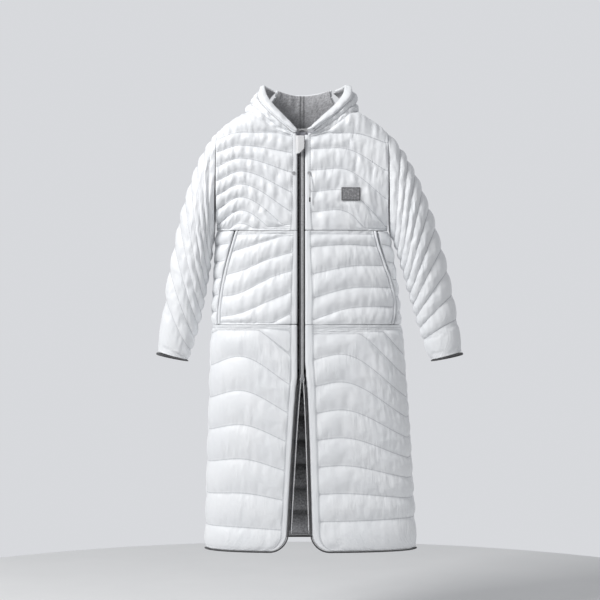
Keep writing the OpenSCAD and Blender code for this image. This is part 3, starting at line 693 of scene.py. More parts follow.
# ---- hood -----------------------------------------------------------------------------------
RIM_TOP = 94
RIM_BAND_W = 22
HOOD_T = 9
RIM_DIP = 20  # how far the rim sinks towards the back
RIM_BACK_Y = 75
CROWN_DROP = 310
CROWN_NECK_HALF = 82
CROWN_HALF = 150
WALL_START = -84
WALL_END = 40
CROWN_START = WALL_END + 4
CROWN_EDGE_Y = 80
CROWN_END = 0.97
RIM_SHARE = 0.06
CROWN_SEAM = 0.3
UNDER_T = 7


def rim_half(side):
    return 106 if side == RIGHT else 120


def neck_at(side, turn):
    x = side * np.maximum(NECK_HALF * cos_deg(turn), 0.01)
    front_s = np.minimum(neck_s(FRONT, x), ridge_s(x))
    back_s = np.minimum(neck_s(BACK, x), ridge_s(x))
    front = body_at(FRONT, angle_of(x, front_s), front_s)
    back = body_at(BACK, angle_of(x, back_s), back_s)
    return np.where((turn < 0)[..., None], front, back) + (0, 0, 3)


def rim_at(side, turn):
    half = rim_half(side)
    w = np.maximum((turn + 90) / 90, 0)
    front = points(side * np.maximum(half * sin_deg(90 * w), 3), -62 * cos_deg(90 * w) - 1,
                   -NECK_FRONT_DROP + (RIM_TOP + NECK_FRONT_DROP) * w ** 0.8)
    back = points(side * half * cos_deg(turn), RIM_BACK_Y * sin_deg(turn) - 1,
                  RIM_TOP - RIM_DIP * sin_deg(turn) ** 2)
    return np.where((turn < 0)[..., None], front, back)


def wall_at(side, turn, h):
    turn, h = np.broadcast_arrays(np.asarray(turn, float), np.asarray(h, float))
    overhang = by_side(side, 5, 13) * sin_deg(180 * clamp(h) ** 2.2)
    bulge = (4 * sin_deg(180 * clamp(h)) + overhang)[..., None]
    out = unit(points(side * cos_deg(turn), sin_deg(turn), 0))
    return mix(neck_at(side, turn), rim_at(side, turn), h[..., None]) + bulge * out


def band_start(side, turn):
    tall = np.linalg.norm(rim_at(side, turn) - neck_at(side, turn), axis=-1)
    return clamp(1 - RIM_BAND_W / tall, 0.08, 0.95)


def crown_half(v):
    return mix(CROWN_NECK_HALF, CROWN_HALF, sin_deg(90 * clamp(v / 0.6))) * np.sqrt(1 - v ** 6)


def crown_at(u, v):
    u, v = np.broadcast_arrays(np.asarray(u, float), np.asarray(v, float))
    wide = crown_half(v)
    start = by_side(u, rim_half(RIGHT), rim_half(LEFT)) * cos_deg(CROWN_START)
    half = mix(start, wide, smooth(v / 0.2))
    top_y = RIM_BACK_Y * sin_deg(CROWN_START) + 2
    edge_y = mix(top_y, CROWN_EDGE_Y, smooth((v - 0.1) / 0.42))
    swell = mix(RIM_BACK_Y * (1 - sin_deg(CROWN_START)), 12, v) + 26 * sin_deg(180 * clamp(v))
    top_z = RIM_TOP - RIM_DIP * sin_deg(mix(90, CROWN_START, np.abs(u))) ** 2
    return points(half * u, edge_y + swell * (1 - np.abs(u) ** 2.2), top_z - CROWN_DROP * v)


def under_at(u, v):
    z = mix(-NECK_BACK_DROP - 10, RIM_TOP - CROWN_DROP + 24, v)
    down = (RIM_TOP - z) / CROWN_DROP
    half = crown_half(down) - 32
    return points(half * u, CROWN_EDGE_Y - UNDER_T - 4, z)


def upright_centre(grid):
    return points(0, 0, grid[..., 2])


def before_back(grid):
    return grid * (1, 0, 1) - (0, 200, 0)


def crown_strip(u0, u1):
    return lambda u, v: crown_at(mix(u0, u1, u), v)


for side, word in SIDES:
    def wall_place(u, v, side=side):
        turn = mix(WALL_START, WALL_END, u)
        tucked_in = points(0, 0, -4 * (1 - np.asarray(v) * np.ones_like(turn)))
        return wall_at(side, turn, v * (band_start(side, turn) - 0.02)) + tucked_in

    def rim_place(u, v, side=side):
        turn = mix(WALL_START, WALL_END, u)
        return wall_at(side, turn, mix(band_start(side, turn), 1, v))
    quilt("hood_wall_" + word, wall_place, [0.0, 0.46, 1.0],
          210, upright_centre, "coat", thick=HOOD_T, gap=0.02, wrinkle=2.6, loose=0.05, puff=6,
          cell=4.5)
    quilt("hood_rim_" + word, rim_place, [0.0, 0.22, 1.0], 230,
          upright_centre, "coat", thick=HOOD_T, gap=0.02, wrinkle=0.5, puff=11, cell=4.5)
    u0, u1 = (-1, -CROWN_SEAM - 0.002) if side == RIGHT else (CROWN_SEAM + 0.002, 1)
    crown_lines = [RIM_SHARE + 0.003 + (CROWN_END - RIM_SHARE - 0.003) * k / 6
                   for k in range(7)]
    quilt("hood_side_" + word, crown_strip(u0, u1), crown_lines, 105, before_back, "hood",
          thick=HOOD_T, gap=0.01, wrinkle=1.2)
quilt("hood_centre", crown_strip(-CROWN_SEAM + 0.002, CROWN_SEAM - 0.002), crown_lines, 90,
      before_back, "hood", thick=HOOD_T, gap=0.01, wrinkle=1)
quilt("hood_rim_back", crown_strip(-1, 1), [0.0, RIM_SHARE], 160,
      before_back, "hood", thick=HOOD_T, gap=0.01, wrinkle=0.6, cell=4.5)
quilt("hood_under", lambda u, v: under_at(2 * u - 1, v),
      [k / 5 for k in range(6)], 230, lambda grid: grid + (0, 200, 0), "hood",
      thick=UNDER_T, gap=0.01, puff=5, cell=6.5)

inflate()
quilted = finish_quilts()

# ---- layers between two offsets of a surface ------------------------------------------------
pieces = {}


def span(a, b, n):
    return np.linspace(a, b, n + 1)


def ripple(shape, size, passes):
    """Gentle unevenness that runs over a grid."""
    values = random.standard_normal(shape)
    for _ in range(passes):
        values = blurred(values, 1)
        values = blurred(values.T, 1).T
    return size * values


def bend_at_armhole(piece):
    """Bakes the piece's placement into its points; the piece is left unattached to any body."""
    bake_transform(piece)


def layer(name, place, us, vs, outer, inner, centre=body_centre, body="coat", ring=False,
          uneven=0.0, passes=3, marks=None):
    """A piece between two distances under a surface, which takes the place of its CAD node.
    marks gives how near each of its points lies to a sewn line."""
    u, v = np.broadcast_arrays(us[None, :], vs[:, None])
    grid = place(u, v)
    normals, turned = outward(grid, centre(grid), ring)
    wavy = ripple(u.shape, uneven, passes)
    low = (outer(grid) if callable(outer) else outer) + wavy
    high = (inner(grid) if callable(inner) else inner) + wavy
    attributes = {"sewn": marks(grid).ravel()} if marks else {}
    piece = subdivide(shell_mesh(name + "_cloth", grid - normals * np.asarray(low)[..., None],
                                 grid - normals * np.asarray(high)[..., None], turned, ring,
                                 attributes))
    if "sleeve_lining" in name:
        bend_at_armhole(piece)
    else:
        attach(piece, body)
    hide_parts(name)
    pieces[name] = piece
    return piece, grid


def cloth(name, place, us, vs, outer, inner, rests_on, ring=False, uneven=0.8, **more):
    """A layer made a little more uneven, with its unevenness smoothed over more passes."""
    piece, grid = layer(name, place, us, vs, outer, inner, ring=ring, uneven=uneven, passes=4,
                        **more)


LINING_OUT = SHELL_T + 2 * SKIN_GAP + LINING_SLACK
POCKET_ROOM = 18
BAG_FROM = 40
BAG_T = 1.2
LINING_REACH = 26
LINING_ROOM = 3


def bag_swell(grid, room, reach):
    x, s = grid[..., 0], grid[..., 2]
    start = by_side(x, 185, 207)
    span_z = POCKET_TOP_Z - WAIST_Z
    across = (np.abs(x) - BAG_FROM + reach) / (start - BAG_FROM)
    fade = (edge_x(by_side(x, RIGHT, LEFT), s) + reach * 0.3 - np.abs(x)) / 60
    up = (s - WAIST_Z + reach) / span_z
    down = (POCKET_TOP_Z - s + reach) / span_z
    return room * smooth(4 * across) * smooth(fade) * smooth(5 * up) * smooth(5 * down)


def front_lining_depth(grid):
    return LINING_OUT + bag_swell(grid, POCKET_ROOM + LINING_ROOM, LINING_REACH)


def rows_between(face, start, end, low, top_drop):
    """A grid that runs from the hem at v = 0 up to a drop below the neck or shoulder seam."""
    def place(u, v):
        s0 = top_s(face, 0)
        high = top_s(face, body_x(mix(start(s0), end(s0), u), s0)) - top_drop
        s = mix(low, high, v)
        return body_at(face, mix(start(s), end(s), u), s)
    return place


LINING_BAND = 67  # the back lining is sewn across at every such height
LINING_LINE_Z = -977
BAND_SWELL = 10
BAND_LINE_W = 7


def quilted_back(grid):
    """The back lining swells between its own sewn lines, towards the inside."""
    band = np.abs(np.sin(math.pi * (grid[..., 2] - LINING_LINE_Z) / LINING_BAND))
    return LINING_OUT + BAND_SWELL * band ** 0.6 * smooth((-grid[..., 2] - 640) / 60)


# How near each point lies to a sewn line of the back lining; the fleece is painted darker there, as
# shade in the creases.
def near_band_line(grid):
    from_line = np.abs(np.sin(math.pi * (grid[..., 2] - LINING_LINE_Z) / LINING_BAND))
    return np.exp(-(from_line * LINING_BAND / math.pi / BAND_LINE_W) ** 2) * (grid[..., 2] < -620)


def near_centre_seam(grid):
    """The hood lining's two rows of stitches, on each side of its centre seam, along which the
    fleece is painted darker as shade.
    """
    return np.exp(-((np.abs(grid[..., 0]) - 5) / 2.2) ** 2)


for side, word in SIDES:
    lining_edge = front_edge(side, PANEL_INSET + 3)
    cloth("front_lining_" + word,
        rows_between(FRONT, lining_edge, side_edge(FRONT, side), HEM_Z + PANEL_INSET + 3, 4),
        span(0, 1, 26), span(0, 1, 100), front_lining_depth,
        lambda grid: front_lining_depth(grid) + LINING_T, rests_on=["front_upper_" + word])

    def bag_place(u, v, side=side):
        s = mix(WAIST_Z + 12, POCKET_TOP_Z - 12, v)
        mouth = mix(pocket_line(side, 12)(s), side_edge(FRONT, side)(s), 0.35)
        return body_at(FRONT, mix(angle_of(side * BAG_FROM, s), mouth, u), s)
    cloth("pocket_bag_" + word, bag_place, span(0, 1, 24), span(0, 1, 26),
        lambda grid: SHELL_T + SKIN_GAP + bag_swell(grid, POCKET_ROOM, 0),
        lambda grid: SHELL_T + SKIN_GAP + BAG_T + bag_swell(grid, POCKET_ROOM, 0),
        rests_on=["pocket_panel_" + word], uneven=0.3)
    cloth("sleeve_lining_" + word, sleeve_place(side), np.arange(48) / 48,
        span(0.07, CUFF_START - 0.004, 60), SHELL_T - 2 + SKIN_GAP,
        SHELL_T - 2 + SKIN_GAP + LINING_T, centre=tube_centre, body=word + "_sleeve", ring=True,
        rests_on=["sleeve_" + word], uneven=0.3)

    def wall_lining_place(u, v, side=side):
        return wall_at(side, mix(-80, WALL_END + 3, u), mix(0.03, 0.99, v))
    cloth("hood_wall_lining_" + word, wall_lining_place, span(0, 1, 30), span(0, 1, 16),
        HOOD_T + SKIN_GAP, HOOD_T + SKIN_GAP + LINING_T, centre=upright_centre,
        rests_on=["hood_wall_" + word])
cloth("back_lining", rows_between(BACK, *back_edges, BACK_HEM_Z + PANEL_INSET + 3, 4),
    span(0, 1, 60), span(0, 1, 150), quilted_back, lambda grid: quilted_back(grid) + LINING_T,
    rests_on=["back_upper"], marks=near_band_line)
cloth("hood_lining", crown_strip(-0.99, 0.99), span(0, 1, 72), span(0.006, CROWN_END, 50),
    HOOD_T + SKIN_GAP, HOOD_T + SKIN_GAP + LINING_T, centre=before_back, body="hood",
    rests_on=["hood_centre"], marks=near_centre_seam)

# ---- neck, binding and pocket edges ---------------------------------------------------------
LINING_FACE = LINING_OUT + LINING_T
FACING_HALF = 95


def neck_band(low, high):
    def place(u, v):
        x = mix(-FACING_HALF, FACING_HALF, u)
        bow = 1 - clamp(np.abs(x) / FACING_HALF) ** 2
        top = neck_s(BACK, x) - high
        s = mix(top - 3 - (low - high) * bow, top, v)
        return body_at(BACK, angle_of(x, s), s)
    return place


layer("back_neck_facing", neck_band(56, 8), span(0, 1, 30), span(0, 1, 10),
    LINING_FACE + SKIN_GAP, LINING_FACE + SKIN_GAP + 1, uneven=0.25)
layer("neck_tape", neck_band(7, 1), span(0, 1, 40), span(0, 1, 4),
    LINING_FACE + SKIN_GAP, LINING_FACE + SKIN_GAP + 1.4)


def outline_at(side, t, inset):
    """Down the front edge for t under 1, round the corner to 2 and along the hem to 3."""
    radius = CORNER_R - inset
    s_edge = mix(-SLIDER_DROP - 22, CORNER_Z, clamp(t))
    centre = front_edge_x(side, np.array(float(CORNER_Z)), 0) + side * CORNER_R
    turn = 90 * clamp(t - 1)
    s_turn = CORNER_Z - radius * sin_deg(turn)
    s = np.where(t <= 1, s_edge, s_turn)
    x = np.where(t <= 1, front_edge_x(side, s_edge, inset), centre - side * radius * cos_deg(turn))
    s_hem = HEM_Z + inset
    along_hem = mix(angle_of(centre + 0 * t, s_hem), side * side_angle(FRONT, s_hem), clamp(t - 2))
    return body_at(FRONT, np.where(t <= 2, angle_of(x, s), along_hem), np.where(t <= 2, s, s_hem))


def round_band(name, place, us, thick_out, thick_in, **more):
    """A narrow bound edge, made full by its subdivision."""
    layer(name, place, us, np.array([0, 0.5, 1]), -thick_out, thick_in, uneven=0.15, passes=2,
          **more)


for side, word in SIDES:
    t_steps = np.concatenate([span(0, 1, 80), span(1.06, 2, 16), span(2.02, 3, 60)])
    round_band("front_binding_" + word, lambda u, v, side=side: outline_at(side, u, BINDING_W * v),
        t_steps, 1.2, SHELL_T)
    round_band("cuff_binding_" + word, lambda u, v, side=side: sleeve_place(side)(
            u, mix(CUFF_START, 1, v)), np.arange(72) / 72, 1.2, SHELL_T - 1,
        centre=tube_centre, body=word + "_sleeve", ring=True)

    def edge_place(u, v, side=side):
        s = mix(WAIST_Z + HALF_GAP, POCKET_TOP_Z - HALF_GAP, u)
        return body_at(FRONT, mix(pocket_line(side, -8)(s), pocket_line(side, 0)(s), v), s)
    round_band("pocket_edge_" + word, edge_place, span(0, 1, 60), 1.5, SHELL_T)


def back_hem_place(u, v):
    s = mix(BACK_HEM_Z, BACK_HEM_Z + BINDING_W, v)
    return body_at(BACK, mix(back_edges[0](s), back_edges[1](s), u), s)


round_band("back_hem_binding", back_hem_place, span(0, 1, 110), 1.2, LINING_FACE)

# ---- zip ------------------------------------------------------------------------------------
TAPE_IN = 2.2
TAPE_T = 1.2
TEETH_SPACE = 0.7
TEETH_W = 2.5
ZIP_LOW = HEM_Z + CORNER_R + 6
ZIP_HIGH = -NECK_FRONT_DROP - 6
TOOTH_PITCH = 2.6
TOOTH_H = 2.1
TOOTH_DEPTH = 4.4


def beside_zip(side, x, s):
    return body_at(FRONT, angle_of(vent_shift(side, s) + side * x, s), s)


BOX_CORNERS = np.array([(x, y, z) for x in (0, 1) for y in (0, 1) for z in (0, 1)], float)
BOX_FACES = np.array([(0, 1, 3, 2), (4, 6, 7, 5), (0, 4, 5, 1), (2, 3, 7, 6), (0, 2, 6, 4),
                      (1, 5, 7, 3)])


def teeth(side, word):
    """One row of moulded teeth, each a small bead with a narrowed head."""
    s = np.arange(ZIP_LOW + 1, ZIP_HIGH - 1, TOOTH_PITCH) + (TOOTH_PITCH / 2 if side == LEFT else 0)
    s = s[s < ZIP_HIGH - 2]
    count = len(s)
    head = BOX_CORNERS[None] * np.ones((count, 1, 1))
    x = mix(TEETH_SPACE, TEETH_SPACE + TEETH_W, head[..., 0])
    narrow = mix(0.8, 1, head[..., 0])
    z = s[:, None] + (head[..., 2] - 0.5) * TOOTH_H * narrow
    y = TAPE_IN + TAPE_T / 2 + (head[..., 1] - 0.5) * TOOTH_DEPTH * narrow
    verts = (beside_zip(side, x, z) + points(0, y, 0)).reshape(-1, 3)
    faces = (BOX_FACES[None] + 8 * np.arange(count)[:, None, None]).reshape(-1, 4)
    if side == LEFT:
        faces = faces[:, ::-1]
    piece = link_mesh("zip_teeth_" + word + "_row", verts, faces)
    piece.data.shade_flat()
    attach(piece, "coat")
    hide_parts("zip_teeth_" + word)
    pieces["zip_teeth_" + word] = piece


for side, word in SIDES:
    def tape_place(u, v, side=side):
        s = mix(ZIP_LOW, ZIP_HIGH, u)
        x = mix(TEETH_SPACE + TEETH_W + 0.2, zip_side(side) - PANEL_INSET - 0.8, v)
        return beside_zip(side, x, s)
    layer("zip_tape_" + word, tape_place, span(0, 1, 160), np.array([0, 0.5, 1]), TAPE_IN,
        TAPE_IN + TAPE_T)
    teeth(side, word)


GARAGE_SEAM_X = -18
GARAGE_ROOM = 8.2  # how far it stands clear of the slider
GARAGE_T = 1.2


def garage_place(u, v):
    s = -NECK_FRONT_DROP - 3 - 50 * (1 - v)
    x = mix(GARAGE_SEAM_X, mix(-12, 6, smooth(0.3 + 2 * v)), u)
    return body_at(FRONT, angle_of(x, s), s)


def garage_rise(grid):
    """It is sewn down near its seam and stands clear of the slider under it."""
    return -GARAGE_ROOM * smooth((grid[..., 0] - GARAGE_SEAM_X) / 7)


layer("zip_garage", garage_place, span(0, 1, 16), span(0, 1, 24),
      lambda grid: garage_rise(grid) - 0.4 - GARAGE_T, lambda grid: garage_rise(grid) - 0.4)


# ---- patch and cord -------------------------------------------------------------------------
def patch_place(u, v):
    s = mix(-236, -199, v)
    return body_at(FRONT, mix(angle_of(108 + 0 * s, s), angle_of(160 + 0 * s, s), u), s)


layer("chest_patch", patch_place, span(0, 1, 26), span(0, 1, 18), -2.4, -0.2,
      uneven=0.12, passes=1)

CORD_R = 1.5
CORD_ROUTE = [(19, -72.5, -160), (19, -75.5, -161), (20, -77.5, -165), (20, -78.5, -171),
              (21, -79.5, -179), (21, -80.5, -188), (20, -81, -197), (20, -82, -206),
              (21, -82.5, -215), (21, -83, -224), (21, -83.5, -228)]
route = np.array(CORD_ROUTE, float)


def cord_mesh():
    """A round tube along the cord's route, closed at both ends."""
    sideways = unit(np.cross(unit(np.gradient(route, axis=0)), (0, 1, 0)))
    outwards = np.cross(sideways, unit(np.gradient(route, axis=0)))
    turns = np.radians(np.arange(0, 360, 30))[:, None]
    tube = route[:, None] + CORD_R * (np.cos(turns) * sideways[:, None]
                                      + np.sin(turns) * outwards[:, None])
    rows, columns = tube.shape[:2]
    ends = [list(range(columns)), list(range((rows - 1) * columns, rows * columns))]
    mesh = bpy.data.meshes.new("drawcord_line")
    mesh.from_pydata((tube.reshape(-1, 3) * MM).tolist(), [],
                     grid_faces(rows, columns, ring=True).tolist() + ends)
    outside = bmesh.new()
    outside.from_mesh(mesh)
    bmesh.ops.recalc_face_normals(outside, faces=outside.faces)
    outside.to_mesh(mesh)
    outside.free()
    mesh.shade_smooth()
    return mesh


pieces["drawcord"] = bpy.data.objects.new("drawcord_line", cord_mesh())
scene.collection.objects.link(pieces["drawcord"])
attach(pieces["drawcord"], "coat")
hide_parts("drawcord")

for q in quilts:
    if "sleeve" in q["body"]:
        bend_at_armhole(quilted[q["name"]])
    else:
        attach(quilted[q["name"]], q["body"])
    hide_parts(q["name"])
    pieces[q["name"]] = quilted[q["name"]]

# ---- materials ------------------------------------------------------------------------------
class Recipe:
    """One material's nodes. Most methods add a node and give back its output."""

    def __init__(self, name, coordinate="UV"):
        self.material = bpy.data.materials.new(name)
        self.material.use_nodes = True
        self.tree = self.material.node_tree
        self.shader = self.tree.nodes["Principled BSDF"]
        self.place = self.tree.nodes.new("ShaderNodeTexCoord").outputs[coordinate]

    def feed(self, socket, value):
        if isinstance(value, bpy.types.NodeSocket):
            self.tree.links.new(value, socket)
        elif isinstance(value, tuple) and len(value) == 3 and socket.type == "RGBA":
            socket.default_value = (*value, 1)
        else:
            socket.default_value = value

    def add(self, kind, inputs, output=0, **settings):
        node = self.tree.nodes.new("ShaderNode" + kind)
        for key, value in settings.items():
            setattr(node, key, value)
        for key, value in inputs.items():
            self.feed(node.inputs[key], value)
        return node.outputs[output]

    def math(self, operation, a, b):
        return self.add("Math", {0: a, 1: b}, operation=operation)

    def times(self, a, b):
        return self.math("MULTIPLY", a, b)

    def mixed(self, share, a, b):
        """A mix of two colours. The node's colour sockets follow its number and vector ones."""
        return self.add("Mix", {0: share, 6: a, 7: b}, 2, data_type="RGBA")

    def stretched(self, scale):
        return self.add("Mapping", {"Vector": self.place, "Scale": scale})

    def noise(self, size, detail=3.0, stretch=(1, 1, 1)):
        """Noise whose blotches are about size millimetres, drawn out by stretch."""
        scale = tuple(1 / (size * MM * part) for part in stretch)
        return self.add("TexNoise", {"Vector": self.stretched(scale), "Scale": 1.0,
                                               "Detail": detail})

    def bands(self, pitch, direction="X", wobble=0.0):
        """Even ribs, pitch millimetres apart."""
        return self.add("TexWave", {"Vector": self.place, "Scale": 0.314 / (pitch * MM),
                         "Distortion": wobble}, 1, bands_direction=direction)

    def ramp(self, value, low, high, at_low=0.0, at_high=1.0):
        return self.add("MapRange", {"Value": value, "From Min": low, "From Max": high,
                                               "To Min": at_low, "To Max": at_high})

    def bump(self, height, distance, strength=1.0, onto=None):
        inputs = {"Height": height, "Distance": distance * MM, "Strength": strength}
        if onto:
            inputs["Normal"] = onto
        return self.add("Bump", inputs)

    def finish(self, **inputs):
        for key, value in inputs.items():
            self.feed(self.shader.inputs[key.replace("_", " ")], value)
        return self.material


def scaled(colour, factor):
    return tuple(min(part * factor, 1) for part in colour)


def shell_material():
    """Satin nylon: fine long wrinkles that run from seam to seam, stitches on the seams, and
    painted shade that darkens the colour in the sewn lines' creases.
    """
    r = Recipe("shell_nylon")
    sewn = r.add("Attribute", {}, 2, attribute_name="sewn")
    near_seam = r.ramp(sewn, 0.0, 0.55)
    # Painted shade: a mask of the sewn lines' creases, where the colour is darkened towards grey.
    crease_shade = r.ramp(sewn, 0.62, 0.95)
    broad = r.noise(95, 2.0)
    pulled = r.ramp(r.noise(120, 1.0), 0.38, 0.62)
    wrinkles = r.ramp(r.noise(6.5, 2.0, (1, 6.5, 1)), 0.3, 0.7)
    fine = r.noise(3.2, 2.0, (1, 4, 1))
    amount = r.math("ADD", r.times(pulled, 0.75), r.times(near_seam, 0.45))
    weave = r.times(r.bands(0.55, "X"), r.bands(0.55, "Y"))
    stitch = r.math("GREATER_THAN", r.bands(3.4, "DIAGONAL"), 0.35)
    thread = r.times(stitch, r.ramp(sewn, 0.86, 0.97))
    base = r.mixed(r.ramp(broad, 0.3, 0.7), (0.8, 0.815, 0.835), (0.85, 0.86, 0.875))
    # Painted shade in the creases of the sewn lines.
    base = r.mixed(r.times(crease_shade, 0.72), base, (0.36, 0.375, 0.4))
    base = r.mixed(r.times(thread, 0.7), base, (0.85, 0.86, 0.87))
    normal = r.bump(r.times(wrinkles, amount), 1.5, 0.7)
    normal = r.bump(r.times(fine, amount), 0.5, 0.6, normal)
    normal = r.bump(weave, 0.05, 0.35, normal)
    normal = r.bump(thread, 0.5, 0.6, normal)
    return r.finish(Base_Color=base, Roughness=r.ramp(fine, 0.3, 0.7, 0.42, 0.55), Normal=normal,
                    Sheen_Weight=0.12, Specular_IOR_Level=0.45)


def fleece_material(name, dark, light, rubbed):
    """Brushed fleece: curly pile, lighter where it is rubbed, with a strong sheen, and painted
    shade that darkens the pile along the sewn lines marked on a piece.
    """
    r = Recipe(name)
    # Painted shade: a mask of the sewn lines marked on the piece.
    crease_shade = r.add("Attribute", {}, 2, attribute_name="sewn")
    clumps = r.noise(5, 4.0)
    pile = r.noise(1.1, 5.0)
    worn = r.noise(70, 3.0)
    base = r.mixed(r.ramp(clumps, 0.32, 0.68), dark, light)
    base = r.mixed(r.times(r.ramp(worn, 0.45, 0.75), 0.45), base, rubbed)
    # Painted shade: the pile darkens along the marked sewn lines.
    base = r.mixed(r.times(crease_shade, 0.8), base, scaled(dark, 0.25))
    normal = r.bump(clumps, 2.2, 0.8)
    normal = r.bump(pile, 0.8, 0.9, normal)
    return r.finish(Base_Color=base, Roughness=0.95, Normal=normal, Sheen_Weight=0.85,
                    Sheen_Roughness=0.45)


def woven_material(name, dark, light, pitch, direction="DIAGONAL", relief=0.25, sheen=0.2,
                   coordinate="UV", roughness=0.85):
    """A woven, ribbed or braided cloth, with its ribs, slubs and slight fading."""
    r = Recipe(name, coordinate)
    ribs = r.bands(pitch, direction, 0.6)
    slub = r.noise(pitch * 1.6, 3.0)
    faded = r.noise(38, 2.0)
    base = r.mixed(ribs, dark, light)
    base = r.mixed(r.times(r.ramp(faded, 0.4, 0.75), 0.35), base, scaled(light, 1.25))
    base = r.mixed(r.times(r.ramp(slub, 0.5, 0.8), 0.3), base, scaled(dark, 0.7))
    normal = r.bump(ribs, relief, 0.8)
    normal = r.bump(slub, relief * 0.6, 0.6, normal)
    return r.finish(Base_Color=base, Roughness=roughness, Normal=normal, Sheen_Weight=sheen)


def hard_material(name, colour, metallic, roughness, scratch, coordinate="Object"):
    """Metal or moulded plastic, with brushed scratches and a few duller, handled spots."""
    r = Recipe(name, coordinate)
    brushed = r.noise(0.5, 3.0, (1, 1, 12))
    handled = r.noise(6, 3.0)
    base = r.mixed(r.ramp(handled, 0.4, 0.7), colour, scaled(colour, 0.78))
    gloss = r.math("ADD", r.ramp(brushed, 0.3, 0.7, roughness, roughness + 0.14),
                   r.ramp(handled, 0.45, 0.75, 0.0, 0.12))
    return r.finish(Base_Color=base, Metallic=metallic, Roughness=gloss,
                    Normal=r.bump(brushed, scratch, 0.5))


PATCH_HALF_W = 0.0262
PATCH_HALF_H = 0.0185
PATCH_BORDER = 0.0032


def felt_patch_material():
    """Grey felt with a darker stitched border, set out along the patch's own length and height."""
    r = Recipe("patch_felt")
    fibres = r.noise(1.3, 5.0, (1.6, 1, 1))
    flecks = r.noise(5.5, 3.0)
    parts = r.tree.nodes.new("ShaderNodeSeparateXYZ")
    r.feed(parts.inputs[0], r.place)
    across = r.math("ABSOLUTE", r.math("SUBTRACT", parts.outputs[0], PATCH_HALF_W), 0.0)
    up = r.math("ABSOLUTE", r.math("SUBTRACT", parts.outputs[1], PATCH_HALF_H), 0.0)
    edge = r.math("MAXIMUM", r.math("SUBTRACT", across, PATCH_HALF_W - PATCH_BORDER),
                  r.math("SUBTRACT", up, PATCH_HALF_H - PATCH_BORDER))
    border_line = r.math("GREATER_THAN", edge, 0.0)
    dashes = r.math("GREATER_THAN", r.bands(2.2, "DIAGONAL"), 0.4)
    base = r.mixed(r.ramp(fibres, 0.3, 0.7), (0.1, 0.1, 0.105), (0.3, 0.3, 0.31))
    base = r.mixed(r.times(r.ramp(flecks, 0.5, 0.66), 0.7), base, (0.42, 0.42, 0.43))
    base = r.mixed(r.times(r.times(border_line, dashes), 0.85), base, (0.03, 0.03, 0.032))
    normal = r.bump(fibres, 0.35, 0.8)
    normal = r.bump(r.math("SUBTRACT", 1.0, border_line), 0.4, 0.5, normal)
    return r.finish(Base_Color=base, Roughness=0.92, Normal=normal, Sheen_Weight=0.35)


FINISHES = {
    "shell": shell_material(),
    "fleece": fleece_material("fleece_pile", (0.18, 0.18, 0.185), (0.48, 0.48, 0.5),
                              (0.55, 0.55, 0.57)),
    "facing": woven_material("facing_twill", (0.6, 0.6, 0.67), (0.76, 0.76, 0.82), 0.9),
    "tape": woven_material("white_tape", (0.58, 0.58, 0.59), (0.74, 0.74, 0.74), 1.4),
    "label": woven_material("label_weave", (0.05, 0.028, 0.02), (0.13, 0.08, 0.055), 0.8,
                            coordinate="Object"),
    "binding": woven_material("ribbed_binding", (0.012, 0.012, 0.014), (0.06, 0.06, 0.065), 1.5,
                              "X", 0.45, 0.4),
    "zip_tape": woven_material("zip_tape_twill", (0.02, 0.02, 0.024), (0.085, 0.085, 0.095), 0.7),
    "zip_teeth": hard_material("moulded_teeth", (0.8, 0.8, 0.81), 0.0, 0.4, 0.02),
    "metal": hard_material("satin_nickel", (0.7, 0.7, 0.71), 1.0, 0.24, 0.02),
    "patch": felt_patch_material(),
    "cord": woven_material("braided_cord", (0.45, 0.45, 0.46), (0.78, 0.78, 0.79), 1.1, "Z", 0.3,
                           coordinate="Object"),
    "cord_tip": hard_material("moulded_tip", (0.03, 0.03, 0.032), 0.0, 0.35, 0.02),
}
SLOTS = {"front_binding": "binding", "back_hem_binding": "binding", "cuff_binding": "binding",
         "zip_tape": "zip_tape", "zip_teeth": "zip_teeth", "zip_garage": "tape",
         "chest_patch": "patch", "drawcord": "cord", "back_neck_facing": "facing",
         "neck_tape": "tape", "front_lining": "fleece", "back_lining": "fleece",
         "pocket_bag": "fleece", "sleeve_lining": "fleece", "hood_wall_lining": "fleece",
         "hood_lining": "fleece"}
CARRIED = {"neck_label": "label", "hang_loop": "tape", "zip_end_pins": "metal",
           "upper_slider": "metal", "upper_puller": "metal", "lower_slider": "metal",
           "lower_puller": "metal", "cord_eyelets": "metal", "cord_tip": "cord_tip"}


def slot_of(name):
    for side_end in ("_right", "_left"):
        name = name.removesuffix(side_end)
    return SLOTS.get(name, "shell")
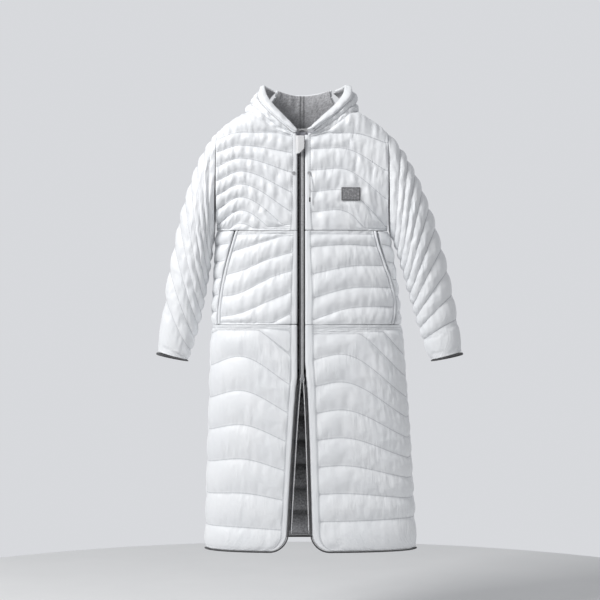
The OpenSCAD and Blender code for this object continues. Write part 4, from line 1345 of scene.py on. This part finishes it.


# A lighter copy of the lining fleece for the hood's inside: painted light, for the brighter light
# that falls on the hood lining.
lit_hood_fleece = fleece_material("hood_fleece_pile", (0.3, 0.3, 0.31), (0.58, 0.58, 0.6),
                              (0.74, 0.74, 0.76))
for name, piece in pieces.items():
    hood_inside = name.startswith("hood") and slot_of(name) == "fleece"
    piece.data.materials.clear()
    piece.data.materials.append(lit_hood_fleece if hood_inside else FINISHES[slot_of(name)])
for name, finish in CARRIED.items():
    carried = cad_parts[name]
    carried.data.materials.clear()
    carried.data.materials.append(FINISHES[finish])

# ---- floor, light and finish ----------------------------------------------------------------
def plaster():
    r = Recipe("pale_plaster", "Object")
    mottle = r.noise(240, 3.0)
    base = r.mixed(mottle, (0.78, 0.785, 0.785), (0.84, 0.842, 0.84))
    return r.finish(Base_Color=base, Roughness=0.9, Normal=r.bump(mottle, 0.5, 0.1))


bpy.ops.mesh.primitive_circle_add(vertices=96, radius=1.75, fill_type="NGON",
                                  location=(0, 0, -1.45))
floor = bpy.context.object
floor.name = "floor"
floor.data.materials.append(plaster())


def softbox(name, place, turn, size, power):
    lamp = bpy.data.lights.new(name, "AREA")
    lamp.size = size
    lamp.energy = power
    thing = bpy.data.objects.new(name, lamp)
    thing.location = place
    thing.rotation_euler = turn
    scene.collection.objects.link(thing)


softbox("key", (-2.2, -1.8, 1.7), (math.radians(52), 0, math.radians(-51)), 1.0, 104)
softbox("fill", (2.8, -3.0, 0.2), (math.radians(80), 0, math.radians(40)), 2.6, 14)
world = bpy.data.worlds.new("studio")
world.use_nodes = True
tree = world.node_tree
sky = tree.nodes["Background"]
sky.inputs["Color"].default_value = (0.95, 0.965, 1.0, 1)
direction = tree.nodes.new("ShaderNodeTexCoord")
parts = tree.nodes.new("ShaderNodeSeparateXYZ")
brighten = tree.nodes.new("ShaderNodeMapRange")
tree.links.new(direction.outputs["Generated"], parts.inputs[0])
tree.links.new(parts.outputs["Y"], brighten.inputs["Value"])
tree.links.new(brighten.outputs["Result"], sky.inputs["Strength"])
for key, value in (("From Min", -0.1), ("From Max", 0.9), ("To Min", 0.36), ("To Max", 0.72)):
    brighten.inputs[key].default_value = value
scene.world = world
scene.view_settings.view_transform = "Standard"
